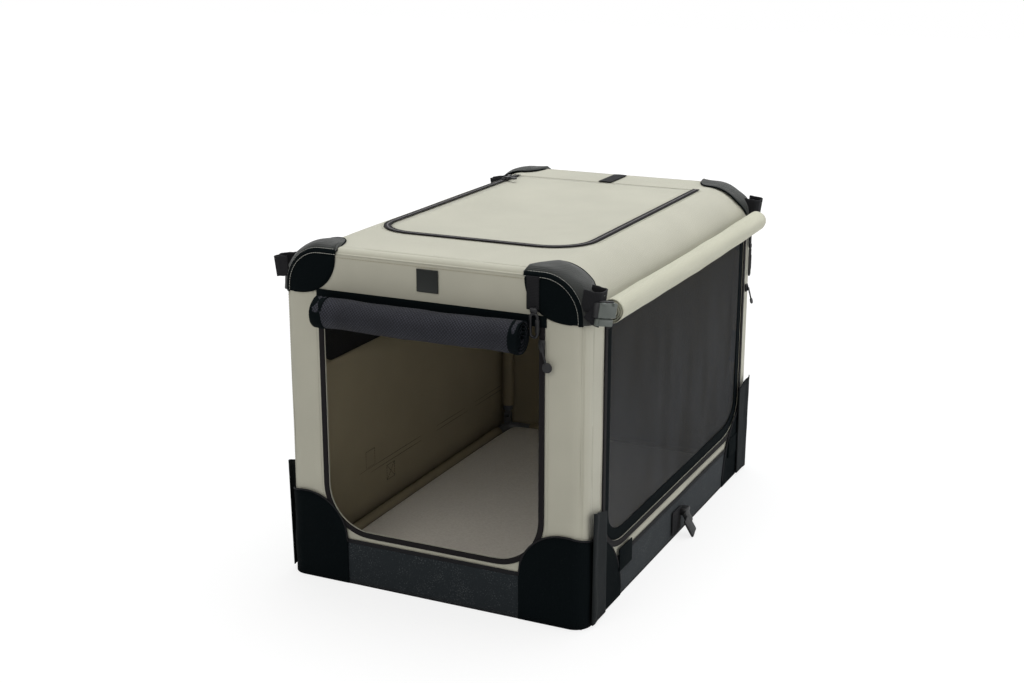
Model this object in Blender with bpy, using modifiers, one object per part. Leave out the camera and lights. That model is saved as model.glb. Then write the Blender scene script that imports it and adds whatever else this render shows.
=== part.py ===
"""Soft folding dog crate, built as separate pieces in Blender.

Metres, +Z up. The front door faces -Y, the length runs along Y and the mesh side door faces +X.
Two pairs of knee-jointed legs carry a top frame that comes straight down when the crate folds.
"""
import math

import bmesh
import bpy
from mathutils import Matrix, Vector

# Body of the crate, outside of the fabric
CRATE_LENGTH = 0.640
CRATE_WIDTH = 0.410
CRATE_HEIGHT = 0.440
HOOP_RADIUS = 0.055
CORNER_RADIUS = 0.018
EDGE_RADIUS = 0.010
WALL = 0.0015
GAP = 0.0003
OVERRUN = 0.020
ARC_STEPS = 7
EYE_STEPS = 12
ROUND_SIDES = 16

# Frame tubes and their hinges
TUBE_RADIUS = 0.0075
FRAME_INSET = 0.0134
BASE_PIVOT_Z = 0.030
TOP_PIVOT_DROP = 0.025
EYE_RADIUS = 0.0045
EYE_WIDTH = 0.0060
CHEEK = 0.0018
PIN_RADIUS = 0.0020
SOCKET_RADIUS = 0.0102
SOCKET_LENGTH = 0.034
BUTTON_RADIUS = 0.0028
BUTTON_LENGTH = 0.0060
BUTTON_PROUD = 0.0018
BUTTON_TRAVEL = 0.0012
BUTTON_DROP = 0.022

# Base
FLOOR_THICKNESS = 0.0015
SKIRT_HEIGHT = 0.056
SKIRT_THICKNESS = 0.0012
PATCH_THICKNESS = 0.0012
LOWER_PATCH_WIDTH = 0.085
LOWER_PATCH_HEIGHT = 0.119
LOWER_PATCH_RADIUS = 0.060
CLOSURE_THICKNESS = 0.0015
CLOSURE_HEIGHT = 0.150
CLOSURE_WIDTH = 0.036
CLOSURE_START = 0.004
MAT_THICKNESS = 0.018
MAT_EDGE = 0.007
MAT_CLEARANCE = 0.003

# Seams of the fabric body
SEAM_INSET = 0.006

# Front door opening, its zip, header and rolled door
DOOR_SIDE_MARGIN = 0.059
DOOR_BOTTOM = 0.075
DOOR_TOP_DROP = 0.066
DOOR_RADIUS = 0.058
ZIP_WIDTH = 0.009
ZIP_THICKNESS = 0.0012
HEADER_RISE = 0.0005
HEADER_HEIGHT = 0.0115
HEADER_THICKNESS = 0.0015
FRONT_ROLL_RADIUS = 0.020
FRONT_ROLL_DROP = 0.073
FRONT_ROLL_LEFT_INSET = 0.062
FRONT_ROLL_RIGHT_INSET = 0.071
ROLL_SHEET = 0.0026
ROLL_STEP = 0.0032
ROLL_TURN_POINTS = 24
BADGE_WIDTH = 0.029
BADGE_DROP = 0.013
BADGE_HEIGHT = 0.028
BADGE_THICKNESS = 0.0010

# Strap and hook that hold the front roll
HOOK_STRAP_WIDTH = 0.012
HOOK_STRAP_THICKNESS = 0.0018
HOOK_STRAP_DROP = 0.012
HOOK_STRAP_LENGTH = 0.040
HOOK_WIDTH = 0.0065
HOOK_DEPTH = 0.010
HOOK_DROP = 0.048
HOOK_LENGTH = 0.047

# Mesh door of the right side, its zip and its rolled cover
SIDE_DOOR_FRONT_MARGIN = 0.060
SIDE_DOOR_REAR_MARGIN = 0.046
SIDE_DOOR_BOTTOM = 0.077
SIDE_DOOR_TOP_DROP = 0.069
SIDE_DOOR_RADIUS = 0.045
SIDE_ROLL_RADIUS = 0.0155
SIDE_ROLL_DROP = 0.046
SIDE_ROLL_FRONT_INSET = 0.032
SIDE_ROLL_REAR_INSET = 0.040
SIDE_HOOK_DROP = 0.072
SIDE_HOOK_LENGTH = 0.068

# Mesh window of the left side
WINDOW_MARGIN = 0.075
WINDOW_TOP_DROP = 0.074
WINDOW_HEIGHT = 0.104
WINDOW_RADIUS = 0.030
WINDOW_LAP = 0.008
WINDOW_THICKNESS = 0.0010

# Flap in the roof
FLAP_SIDE_MARGIN = 0.062
FLAP_FRONT_MARGIN = 0.115
FLAP_REAR_MARGIN = 0.085
FLAP_RADIUS = 0.055
FLAP_STRAP_WIDTH = 0.020
FLAP_STRAP_LENGTH = 0.062
FLAP_STRAP_THICKNESS = 0.0015
FLAP_STRAP_SETBACK = 0.003

# Caps and webbing loops of the top corners
TOP_PATCH_WIDTH = 0.070
TOP_PATCH_HEIGHT = 0.058
TOP_PATCH_DEPTH = 0.056
TOP_PATCH_RADIUS = 0.040
LOOP_LENGTH = 0.026
LOOP_REACH = 0.019
LOOP_HEIGHT = 0.022
LOOP_STRAP = 0.0025
LOOP_CORNER_INSET = 0.002
LOOP_ROUND = 0.007
LOOP_TILT = math.radians(28)

# Buckle that hangs at the front right corner, and the clip of the base
BUCKLE_WIDTH = 0.024
BUCKLE_DEPTH = 0.009
BUCKLE_HEIGHT = 0.018
BUCKLE_DROP = 0.055
BUCKLE_INSET = 0.017
BUCKLE_CAVITY = 0.014
CLIP_HEIGHT = 0.018
CLIP_TONGUE = 0.010
CLIP_TONGUE_WIDTH = 0.012
CLIP_TONGUE_DEPTH = 0.004
BASE_CLIP_Y = 0.012
BASE_CLIP_WIDTH = 0.018
BASE_CLIP_HEIGHT = 0.034
BASE_CLIP_DEPTH = 0.006
BASE_CLIP_LOW = 0.006
BASE_CLIP_SLOT = 0.005
SOFT_EDGE = 0.0015

# Zip sliders
SLIDER_WIDTH = 0.008
SLIDER_LENGTH = 0.012
SLIDER_THICKNESS = 0.003
PULL_WIDTH = 0.004
PULL_LENGTH = 0.022
PULL_THICKNESS = 0.0018
TAG_RADIUS = 0.004
FRONT_SLIDER_DROP = 0.086
SIDE_SLIDER_DROP = 0.150
TOP_SLIDER_SETBACK = 0.045

# Sizes that follow from the ones above
HALF_LENGTH = CRATE_LENGTH / 2
HALF_WIDTH = CRATE_WIDTH / 2
SHOULDER_Z = CRATE_HEIGHT - HOOP_RADIUS
DOOR_HALF_WIDTH = HALF_WIDTH - DOOR_SIDE_MARGIN
DOOR_TOP = CRATE_HEIGHT - DOOR_TOP_DROP
HEADER_BOTTOM = DOOR_TOP + HEADER_RISE
HEADER_TOP = HEADER_BOTTOM + HEADER_HEIGHT
FRONT_ROLL_Z = CRATE_HEIGHT - FRONT_ROLL_DROP
FRONT_ROLL_LEFT = HALF_WIDTH - FRONT_ROLL_LEFT_INSET
FRONT_ROLL_RIGHT = HALF_WIDTH - FRONT_ROLL_RIGHT_INSET
SIDE_DOOR_FRONT = HALF_LENGTH - SIDE_DOOR_FRONT_MARGIN
SIDE_DOOR_REAR = HALF_LENGTH - SIDE_DOOR_REAR_MARGIN
SIDE_DOOR_TOP = CRATE_HEIGHT - SIDE_DOOR_TOP_DROP
SIDE_ROLL_FRONT = HALF_LENGTH - SIDE_ROLL_FRONT_INSET
SIDE_ROLL_REAR = HALF_LENGTH - SIDE_ROLL_REAR_INSET
WINDOW_HALF_LENGTH = HALF_LENGTH - WINDOW_MARGIN
WINDOW_TOP = CRATE_HEIGHT - WINDOW_TOP_DROP
WINDOW_BOTTOM = WINDOW_TOP - WINDOW_HEIGHT
FLAP_HALF_WIDTH = HALF_WIDTH - FLAP_SIDE_MARGIN
FLAP_FRONT = FLAP_FRONT_MARGIN - HALF_LENGTH
FLAP_REAR = HALF_LENGTH - FLAP_REAR_MARGIN
BUCKLE_TOP = CRATE_HEIGHT - BUCKLE_DROP
BUCKLE_Y = HALF_LENGTH - BUCKLE_INSET
FRAME_X = HALF_WIDTH - FRAME_INSET
FRAME_Y = HALF_LENGTH - CORNER_RADIUS
BEND_RADIUS = HOOP_RADIUS - FRAME_INSET
KNEE_OFFSET = TUBE_RADIUS + GAP
HINGE_REACH = TUBE_RADIUS + GAP
TOP_PIVOT_Z = SHOULDER_Z - TOP_PIVOT_DROP
KNEE_Z = (BASE_PIVOT_Z + TOP_PIVOT_Z) / 2
BASE_TUBE_Z = FLOOR_THICKNESS + GAP + TUBE_RADIUS
INNER = WALL + GAP
SKIRT_INSET = -GAP - SKIRT_THICKNESS
LOWER_PATCH_INSET = SKIRT_INSET - GAP - PATCH_THICKNESS
CLOSURE_INSET = LOWER_PATCH_INSET - GAP - CLOSURE_THICKNESS
TOP_PATCH_INSET = -GAP - PATCH_THICKNESS
CHEEK_SIDE = EYE_WIDTH / 2 + GAP
FORK_WIDTH = 2 * (CHEEK_SIDE + CHEEK)
FRONT_ROLL_Y = HALF_LENGTH + GAP + HEADER_THICKNESS + GAP + FRONT_ROLL_RADIUS
SIDE_ROLL_SEAT = HOOP_RADIUS - TOP_PATCH_INSET + GAP + SIDE_ROLL_RADIUS
SIDE_ROLL_X = (HALF_WIDTH - HOOP_RADIUS
               + math.sqrt(SIDE_ROLL_SEAT ** 2 - (HOOP_RADIUS - SIDE_ROLL_DROP) ** 2))
FRONT_REACH = FRONT_ROLL_Y + FRONT_ROLL_RADIUS - ROLL_STEP / 2
REAR_REACH = HALF_LENGTH - LOWER_PATCH_INSET
RIGHT_REACH = SIDE_ROLL_X + SIDE_ROLL_RADIUS - ROLL_STEP / 2
LOOP_END = HOOP_RADIUS - TOP_PATCH_INSET + GAP + LOOP_REACH
LEFT_REACH = (HALF_WIDTH - HOOP_RADIUS + LOOP_END * math.cos(LOOP_TILT)
              + LOOP_HEIGHT / 2 * math.sin(LOOP_TILT))
BODY_X = (LEFT_REACH - RIGHT_REACH) / 2
BODY_Y = (FRONT_REACH - REAR_REACH) / 2

SIDES = {"left": -1, "right": 1}
ENDS = {"front": -1, "rear": 1}

FINISHES = {
    "fabric": ((0.52, 0.50, 0.43), 0.85, 0.0),
    "dark_fabric": ((0.020, 0.028, 0.030), 0.80, 0.0),
    "mesh": ((0.045, 0.050, 0.055), 0.75, 0.0),
    "cream_fabric": ((0.66, 0.66, 0.55), 0.80, 0.0),
    "fleece": ((0.46, 0.44, 0.40), 0.95, 0.0),
    "webbing": ((0.015, 0.015, 0.018), 0.75, 0.0),
    "plastic": ((0.12, 0.13, 0.14), 0.45, 0.0),
    "zip": ((0.012, 0.010, 0.014), 0.55, 0.0),
    "steel": ((0.35, 0.36, 0.37), 0.40, 1.0),
}


def clear_scene():
    for item in list(bpy.data.objects):
        bpy.data.objects.remove(item, do_unlink=True)


def make_material(name):
    colour, roughness, metallic = FINISHES[name]
    material = bpy.data.materials.new(name)
    material.use_nodes = True
    shader = material.node_tree.nodes["Principled BSDF"]
    shader.inputs["Base Color"].default_value = (*colour, 1)
    shader.inputs["Roughness"].default_value = roughness
    shader.inputs["Metallic"].default_value = metallic
    material.diffuse_color = (*colour, 1)
    return material


def shape_from(bm):
    """An object with the geometry of a bmesh, ready to be cut, joined or placed."""
    mesh = bpy.data.meshes.new("shape")
    bmesh.ops.recalc_face_normals(bm, faces=bm.faces)
    bm.to_mesh(mesh)
    bm.free()
    shape = bpy.data.objects.new("shape", mesh)
    bpy.context.scene.collection.objects.link(shape)
    return shape


def runs_along(edge, axis):
    direction = (edge.verts[1].co - edge.verts[0].co).normalized()
    return abs(direction[axis]) > 0.99


def box(low, high, axis=None, radius=0.0, chosen=None, steps=ARC_STEPS):
    """A box between two corners. The edges along an axis, or those chosen of them, are rounded."""
    low, high = Vector(low), Vector(high)
    bm = bmesh.new()
    bmesh.ops.create_cube(bm, size=1.0)
    bmesh.ops.scale(bm, vec=high - low, verts=bm.verts)
    bmesh.ops.translate(bm, vec=(low + high) / 2, verts=bm.verts)
    if axis is not None and radius > 0:
        edges = [edge for edge in bm.edges if runs_along(edge, axis)]
        if chosen:
            edges = [edge for edge in edges if chosen((edge.verts[0].co + edge.verts[1].co) / 2)]
        bmesh.ops.bevel(bm, geom=edges, offset=radius, segments=steps, profile=0.5, affect="EDGES")
    return shape_from(bm)


def cylinder(centre, axis, radius, length, sides=ROUND_SIDES):
    """A cylinder along X, Y or Z about its centre."""
    turn = {0: Matrix.Rotation(math.pi / 2, 4, "Y"), 1: Matrix.Rotation(math.pi / 2, 4, "X"),
            2: Matrix.Identity(4)}[axis]
    bm = bmesh.new()
    bmesh.ops.create_cone(bm, cap_ends=True, segments=sides, radius1=radius, radius2=radius,
                          depth=length, matrix=Matrix.Translation(centre) @ turn)
    return shape_from(bm)


def combine(shape, other, operation):
    """Boolean of two shapes. The second one is used up."""
    modifier = shape.modifiers.new("combine", "BOOLEAN")
    modifier.operation = operation
    modifier.object = other
    graph = bpy.context.evaluated_depsgraph_get()
    mesh = bpy.data.meshes.new_from_object(shape.evaluated_get(graph))
    shape.modifiers.clear()
    shape.data = mesh
    bpy.data.objects.remove(other, do_unlink=True)
    return shape


def cut(shape, *others):
    for other in others:
        combine(shape, other, "DIFFERENCE")
    return shape


def join(shape, *others):
    for other in others:
        combine(shape, other, "UNION")
    return shape


def within(shape, *others):
    for other in others:
        combine(shape, other, "INTERSECT")
    return shape


def curve_shape(points, radius, closed=False):
    """A tube along points, as a closed mesh."""
    data = bpy.data.curves.new("tube", "CURVE")
    data.dimensions = "3D"
    data.bevel_depth = radius
    data.bevel_resolution = 3
    data.use_fill_caps = not closed
    spline = data.splines.new("POLY")
    spline.points.add(len(points) - 1)
    for point, place in zip(spline.points, points):
        point.co = (*place, 1)
    spline.use_cyclic_u = closed
    return meshed(data)


def outline_shape(points, thickness):
    """A flat outline in XY, filled and given a thickness along Z, as a closed mesh."""
    data = bpy.data.curves.new("outline", "CURVE")
    data.dimensions = "2D"
    data.fill_mode = "BOTH"
    data.extrude = thickness / 2
    spline = data.splines.new("POLY")
    spline.points.add(len(points) - 1)
    for point, place in zip(spline.points, points):
        point.co = (*place, 0, 1)
    spline.use_cyclic_u = True
    return meshed(data)


def meshed(data):
    """The mesh object of a curve, with its caps welded on."""
    source = bpy.data.objects.new("curve", data)
    bpy.context.scene.collection.objects.link(source)
    graph = bpy.context.evaluated_depsgraph_get()
    mesh = bpy.data.meshes.new_from_object(source.evaluated_get(graph))
    bm = bmesh.new()
    bm.from_mesh(mesh)
    bmesh.ops.remove_doubles(bm, verts=bm.verts, dist=GAP / 10)
    bpy.data.objects.remove(source, do_unlink=True)
    return shape_from(bm)


def envelope(inset, bottom=0.0):
    """The solid body of the crate, smaller by an inset on every side but the floor."""
    low = (-HALF_WIDTH + inset, -HALF_LENGTH + inset, bottom)
    high = (HALF_WIDTH - inset, HALF_LENGTH - inset, CRATE_HEIGHT - inset)
    body = box(low, high, 2, CORNER_RADIUS - inset)
    wide_low = (low[0], low[1] - OVERRUN, bottom - OVERRUN)
    wide_high = (high[0], high[1] + OVERRUN, high[2])
    shoulders = box(wide_low, wide_high, 1, HOOP_RADIUS - inset, lambda mid: mid.z > bottom)
    long_low = (low[0] - OVERRUN, low[1], bottom - OVERRUN)
    long_high = (high[0] + OVERRUN, high[1], high[2])
    ends = box(long_low, long_high, 0, EDGE_RADIUS - inset, lambda mid: mid.z > bottom, 3)
    return within(body, shoulders, ends)


def skin(outside, inside):
    """A shell of the body between two insets, open at the floor."""
    return cut(envelope(outside), envelope(inside, -OVERRUN))


def slab(low_x=None, high_x=None, low_y=None, high_y=None, low_z=None, high_z=None):
    """A region of space for cutting, which runs past the crate wherever no limit is given."""
    far = CRATE_LENGTH
    lows = [-far if value is None else value for value in (low_x, low_y, low_z)]
    highs = [far if value is None else value for value in (high_x, high_y, high_z)]
    return box(lows, highs)


def door_prism(half_width, bottom, top, radius, depth):
    """A prism along Y through the front wall, with its two lower edges rounded."""
    low = (-half_width, -HALF_LENGTH - depth, bottom)
    high = (half_width, -HALF_LENGTH + depth, top)
    middle = (bottom + top) / 2
    return box(low, high, 1, radius, lambda mid: mid.z < middle)


def side_prism(side, front, rear, bottom, top, radius, depth, all_round=False):
    """A prism along X through a side wall, with its lower or all edges rounded."""
    centre = side * HALF_WIDTH
    low = (centre - depth, -front, bottom)
    high = (centre + depth, rear, top)
    middle = (bottom + top) / 2
    return box(low, high, 0, radius, lambda mid: all_round or mid.z < middle)


def flap_prism(margin, low_z, high_z):
    """A prism along Z through the roof. Its front corners are rounded."""
    low = (-FLAP_HALF_WIDTH - margin, FLAP_FRONT - margin, low_z)
    high = (FLAP_HALF_WIDTH + margin, FLAP_REAR, high_z)
    return box(low, high, 2, FLAP_RADIUS + margin, lambda mid: mid.y < 0)


PARTS = {}
CRATE = {}


def start_crate():
    """The collection of the parts and the empty that they all hang on."""
    collection = bpy.data.collections.new("soft_folding_crate")
    bpy.context.scene.collection.children.link(collection)
    centre = bpy.data.objects.new("crate_centre", None)
    centre.location = (BODY_X, BODY_Y, 0)
    collection.objects.link(centre)
    CRATE["collection"] = collection
    CRATE["centre"] = centre
    for name in FINISHES:
        CRATE[name] = make_material(name)


def place(shape, name, finish, pivot=(0, 0, 0)):
    """Name a finished shape, give it its material and put its origin on its joint."""
    mesh = shape.data
    mesh.name = name
    shape.name = name
    mesh.transform(Matrix.Translation(-Vector(pivot)))
    material = CRATE[finish].copy()
    material.name = name + "_" + finish
    mesh.materials.clear()
    mesh.materials.append(material)
    mesh.shade_smooth()
    mesh.set_sharp_from_angle(angle=math.radians(35))
    bpy.context.scene.collection.objects.unlink(shape)
    CRATE["collection"].objects.link(shape)
    shape.parent = CRATE["centre"]
    shape.location = pivot
    PARTS[name] = shape
    return shape


def cross_plate(x, width, outline):
    """A plate across X from its outline in Y and Z."""
    plate = outline_shape(outline, width)
    crosswise = Matrix(((0, 0, 1, x), (1, 0, 0, 0), (0, 1, 0, 0), (0, 0, 0, 1)))
    plate.data.transform(crosswise)
    return plate


def eye_arc(y, z, turn):
    """Points round a hinge axis, from the inner side and through a turn."""
    for step in range(EYE_STEPS + 1):
        angle = math.pi + turn * step / EYE_STEPS
        yield y + EYE_RADIUS * math.cos(angle), z + EYE_RADIUS * math.sin(angle)


def straight_eye(x, y, z, foot_z, width):
    """A tongue with a round end about a hinge axis, from its foot in a tube."""
    up = 1 if foot_z > z else -1
    foot = [(y + EYE_RADIUS, foot_z), (y - EYE_RADIUS, foot_z)]
    return cross_plate(x, width, foot + list(eye_arc(y, z, up * math.pi)))


def knee_eye(x, y, hand_y, up, width):
    """The eye of a knee, which stands out beside its tube, above the axis or below it."""
    web, rim = up * 2 * TUBE_RADIUS, up * (GAP / 2 + GAP)
    local = [(KNEE_OFFSET, web), (0, web), (0, rim), (KNEE_OFFSET - EYE_RADIUS, rim)]
    local += eye_arc(KNEE_OFFSET, 0, up * 3 * math.pi / 2)
    return cross_plate(x, width, [(y + hand_y * out, KNEE_Z + rise) for out, rise in local])


def eye_space(x, y, z):
    """The room that an eye turns in between its cheeks."""
    return cylinder((x, y, z), 0, EYE_RADIUS + GAP, 2 * CHEEK_SIDE)


def hinge_pin(x, y, z):
    return cylinder((x, y, z), 0, PIN_RADIUS, 2 * (CHEEK_SIDE + CHEEK / 2))


def pin_bore(x, y, z):
    return cylinder((x, y, z), 0, PIN_RADIUS + GAP, 4 * CHEEK_SIDE)


def rounded_corner(centre_x, centre_y, radius, start, steps):
    """Points of a quarter circle, for the bends of a tube."""
    for step in range(steps + 1):
        angle = start + math.pi / 2 * step / steps
        yield centre_x + radius * math.cos(angle), centre_y + radius * math.sin(angle)


def make_base_frame():
    """The tube loop on the floor, with a fork for each of the four legs."""
    radius = CORNER_RADIUS
    points = []
    for number, (hand_x, hand_y) in enumerate(((1, 1), (-1, 1), (-1, -1), (1, -1))):
        centre_x = hand_x * (FRAME_X - radius)
        centre_y = hand_y * (FRAME_Y - radius)
        for x, y in rounded_corner(centre_x, centre_y, radius, number * math.pi / 2, 5):
            points.append((x, y, BASE_TUBE_Z))
    frame = curve_shape(points, TUBE_RADIUS, closed=True)
    for hand_x in SIDES.values():
        for hand_y in ENDS.values():
            x, y = hand_x * FRAME_X, hand_y * FRAME_Y
            fork = straight_eye(x, y, BASE_PIVOT_Z, BASE_TUBE_Z, FORK_WIDTH)
            middle = box((x - CHEEK_SIDE, y - OVERRUN, BASE_PIVOT_Z - EYE_RADIUS - GAP),
                         (x + CHEEK_SIDE, y + OVERRUN, BASE_PIVOT_Z + OVERRUN))
            cut(fork, middle)
            join(fork, hinge_pin(x, y, BASE_PIVOT_Z))
            join(frame, fork)
    place(frame, "base_frame", "steel")


def make_lower_leg(end, side):
    """From the base pivot to the knee. The knee's axis lies just outside the tube."""
    hand_y, hand_x = ENDS[end], SIDES[side]
    x, y = hand_x * FRAME_X, hand_y * FRAME_Y
    knee_y = y + hand_y * KNEE_OFFSET
    low, high = BASE_PIVOT_Z + HINGE_REACH, KNEE_Z - GAP / 2
    leg = cylinder((x, y, (low + high) / 2), 2, TUBE_RADIUS, high - low)
    join(leg, straight_eye(x, y, BASE_PIVOT_Z, low + TUBE_RADIUS, EYE_WIDTH))
    cut(leg, pin_bore(x, y, BASE_PIVOT_Z))
    join(leg, knee_eye(x, y, hand_y, -1, FORK_WIDTH))
    cut(leg, eye_space(x, knee_y, KNEE_Z))
    join(leg, hinge_pin(x, knee_y, KNEE_Z))
    button_z = KNEE_Z - BUTTON_DROP
    depth = BUTTON_LENGTH - BUTTON_PROUD + BUTTON_TRAVEL + GAP
    inner_face = x - hand_x * TUBE_RADIUS
    bore = cylinder((inner_face + hand_x * (depth - OVERRUN) / 2, y, button_z), 0,
                    BUTTON_RADIUS + GAP, depth + OVERRUN)
    cut(leg, bore)
    place(leg, f"{end}_{side}_lower_leg", "steel", (0, y, BASE_PIVOT_Z))

    button_x = inner_face + hand_x * (BUTTON_LENGTH / 2 - BUTTON_PROUD)
    button = cylinder((button_x, y, button_z), 0, BUTTON_RADIUS, BUTTON_LENGTH)
    place(button, f"{end}_{side}_knee_button", "plastic", (button_x, y, button_z))


def make_upper_leg(end, side):
    """From the knee to the pivot under the top frame."""
    hand_y, hand_x = ENDS[end], SIDES[side]
    x, y = hand_x * FRAME_X, hand_y * FRAME_Y
    knee_y = y + hand_y * KNEE_OFFSET
    low, high = KNEE_Z + GAP / 2, TOP_PIVOT_Z - HINGE_REACH
    leg = cylinder((x, y, (low + high) / 2), 2, TUBE_RADIUS, high - low)
    for hand in (-1, 1):
        xs = sorted((x + hand * (CHEEK_SIDE - 2 * GAP), x + hand * (CHEEK_SIDE + CHEEK + GAP)))
        cut(leg, box((xs[0], knee_y - EYE_RADIUS - GAP, KNEE_Z - EYE_RADIUS),
                     (xs[1], knee_y + EYE_RADIUS + GAP, KNEE_Z + EYE_RADIUS + GAP)))
    join(leg, knee_eye(x, y, hand_y, 1, EYE_WIDTH))
    cut(leg, pin_bore(x, knee_y, KNEE_Z))
    join(leg, straight_eye(x, y, TOP_PIVOT_Z, high - TUBE_RADIUS, EYE_WIDTH))
    cut(leg, pin_bore(x, y, TOP_PIVOT_Z))
    place(leg, f"{end}_{side}_upper_leg", "steel", (0, knee_y, KNEE_Z))


def make_hoop(end):
    """A shallow inverted U of tube, with a fork under each leg and a socket for each side rail."""
    hand_y = ENDS[end]
    y = hand_y * FRAME_Y
    foot = TOP_PIVOT_Z + HINGE_REACH
    points = [(FRAME_X, y, foot)]
    centre_x = FRAME_X - BEND_RADIUS
    points += [(x, y, z) for x, z in rounded_corner(centre_x, SHOULDER_Z, BEND_RADIUS, 0, 6)]
    points += [(-x, y, z) for x, _, z in reversed(points)]
    hoop = curve_shape(points, TUBE_RADIUS)
    for hand_x in SIDES.values():
        x = hand_x * FRAME_X
        fork = straight_eye(x, y, TOP_PIVOT_Z, foot + TUBE_RADIUS, FORK_WIDTH)
        middle = box((x - CHEEK_SIDE, y - OVERRUN, TOP_PIVOT_Z - OVERRUN),
                     (x + CHEEK_SIDE, y + OVERRUN, TOP_PIVOT_Z + EYE_RADIUS + GAP))
        cut(fork, middle)
        join(hoop, fork)
        join(hoop, hinge_pin(x, y, TOP_PIVOT_Z))
        near, far = y, y - hand_y * SOCKET_LENGTH
        socket = cylinder((x, (near + far) / 2, SHOULDER_Z), 1, SOCKET_RADIUS, SOCKET_LENGTH)
        join(hoop, socket)
        seat = y - hand_y * (TUBE_RADIUS + GAP)
        bore = cylinder((x, (seat + far) / 2 - hand_y * OVERRUN / 2, SHOULDER_Z), 1,
                        TUBE_RADIUS + GAP, abs(seat - far) + OVERRUN)
        cut(hoop, bore)
    place(hoop, f"{end}_hoop", "steel")


def make_rail(side):
    length = 2 * (FRAME_Y - TUBE_RADIUS - 2 * GAP)
    rail = cylinder((SIDES[side] * FRAME_X, 0, SHOULDER_Z), 1, TUBE_RADIUS, length)
    place(rail, f"{side}_top_rail", "steel")


def make_walls():
    """Front, rear and side walls, each cut from the same skin at its seams."""
    seam = HALF_LENGTH - SEAM_INSET
    front = within(skin(0, WALL), slab(high_y=-seam))
    opening = door_prism(DOOR_HALF_WIDTH, DOOR_BOTTOM, DOOR_TOP, DOOR_RADIUS, OVERRUN)
    place(cut(front, opening), "front_wall", "fabric")
    rear = within(skin(0, WALL), slab(low_y=seam))
    place(rear, "rear_wall", "fabric")
    side_limits = {"low_y": -seam + GAP, "high_y": seam - GAP, "high_z": SHOULDER_Z}
    left = within(skin(0, WALL), slab(high_x=0, **side_limits))
    window = side_prism(-1, WINDOW_HALF_LENGTH, WINDOW_HALF_LENGTH, WINDOW_BOTTOM, WINDOW_TOP,
                        WINDOW_RADIUS, OVERRUN, all_round=True)
    place(cut(left, window), "left_wall", "fabric")
    right = within(skin(0, WALL), slab(low_x=0, **side_limits))
    door = side_prism(1, SIDE_DOOR_FRONT, SIDE_DOOR_REAR, SIDE_DOOR_BOTTOM, SIDE_DOOR_TOP,
                      SIDE_DOOR_RADIUS, OVERRUN)
    place(cut(right, door), "right_wall", "fabric")
    inside = -HALF_WIDTH + INNER
    reach = WINDOW_HALF_LENGTH + WINDOW_LAP
    pane = side_prism(-1, reach, reach, WINDOW_BOTTOM - WINDOW_LAP, WINDOW_TOP + WINDOW_LAP,
                      WINDOW_RADIUS, OVERRUN, all_round=True)
    within(pane, slab(low_x=inside, high_x=inside + WINDOW_THICKNESS))
    place(pane, "left_window_mesh", "mesh")


def make_front_door():
    """Zip round the opening, header above it and the door rolled up below the header."""
    face = -HALF_LENGTH - GAP
    band = door_prism(DOOR_HALF_WIDTH + ZIP_WIDTH, DOOR_BOTTOM - ZIP_WIDTH,
                      HEADER_BOTTOM - GAP, DOOR_RADIUS + ZIP_WIDTH, OVERRUN)
    cut(band, door_prism(DOOR_HALF_WIDTH, DOOR_BOTTOM, HEADER_TOP, DOOR_RADIUS, 2 * OVERRUN))
    within(band, slab(low_y=face - ZIP_THICKNESS, high_y=face))
    place(band, "front_zip", "zip")
    reach = DOOR_HALF_WIDTH + ZIP_WIDTH
    header = box((-reach, face - HEADER_THICKNESS, HEADER_BOTTOM), (reach, face, HEADER_TOP))
    place(header, "front_header", "mesh")
    roll = spiral_roll(FRONT_ROLL_RADIUS, FRONT_ROLL_LEFT + FRONT_ROLL_RIGHT, math.pi / 2)
    roll.data.transform(Matrix.Rotation(math.pi / 2, 4, "Y"))
    middle = (FRONT_ROLL_RIGHT - FRONT_ROLL_LEFT) / 2
    roll.data.transform(Matrix.Translation((middle, -FRONT_ROLL_Y, FRONT_ROLL_Z)))
    place(roll, "front_door_roll", "mesh")
    badge_top = CRATE_HEIGHT - BADGE_DROP
    badge = box((-BADGE_WIDTH / 2, face - BADGE_THICKNESS, badge_top - BADGE_HEIGHT),
                (BADGE_WIDTH / 2, face, badge_top))
    place(badge, "badge", "dark_fabric")


def spiral_roll(radius, length, start):
    """A sheet rolled up on itself, about Z, whose outer end lies at the start angle."""
    turns = int((radius - 2 * ROLL_SHEET) / ROLL_STEP)
    count = turns * ROLL_TURN_POINTS
    outer, inner = [], []
    for step in range(count + 1):
        angle = start + 2 * math.pi * step / ROLL_TURN_POINTS
        reach = radius - ROLL_STEP * step / ROLL_TURN_POINTS
        outer.append((reach * math.cos(angle), reach * math.sin(angle)))
        reach -= ROLL_SHEET
        inner.append((reach * math.cos(angle), reach * math.sin(angle)))
    print("least gap between the turns of a roll:", round(ROLL_STEP - ROLL_SHEET, 4))
    return outline_shape(outer + inner[::-1], length)


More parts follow.
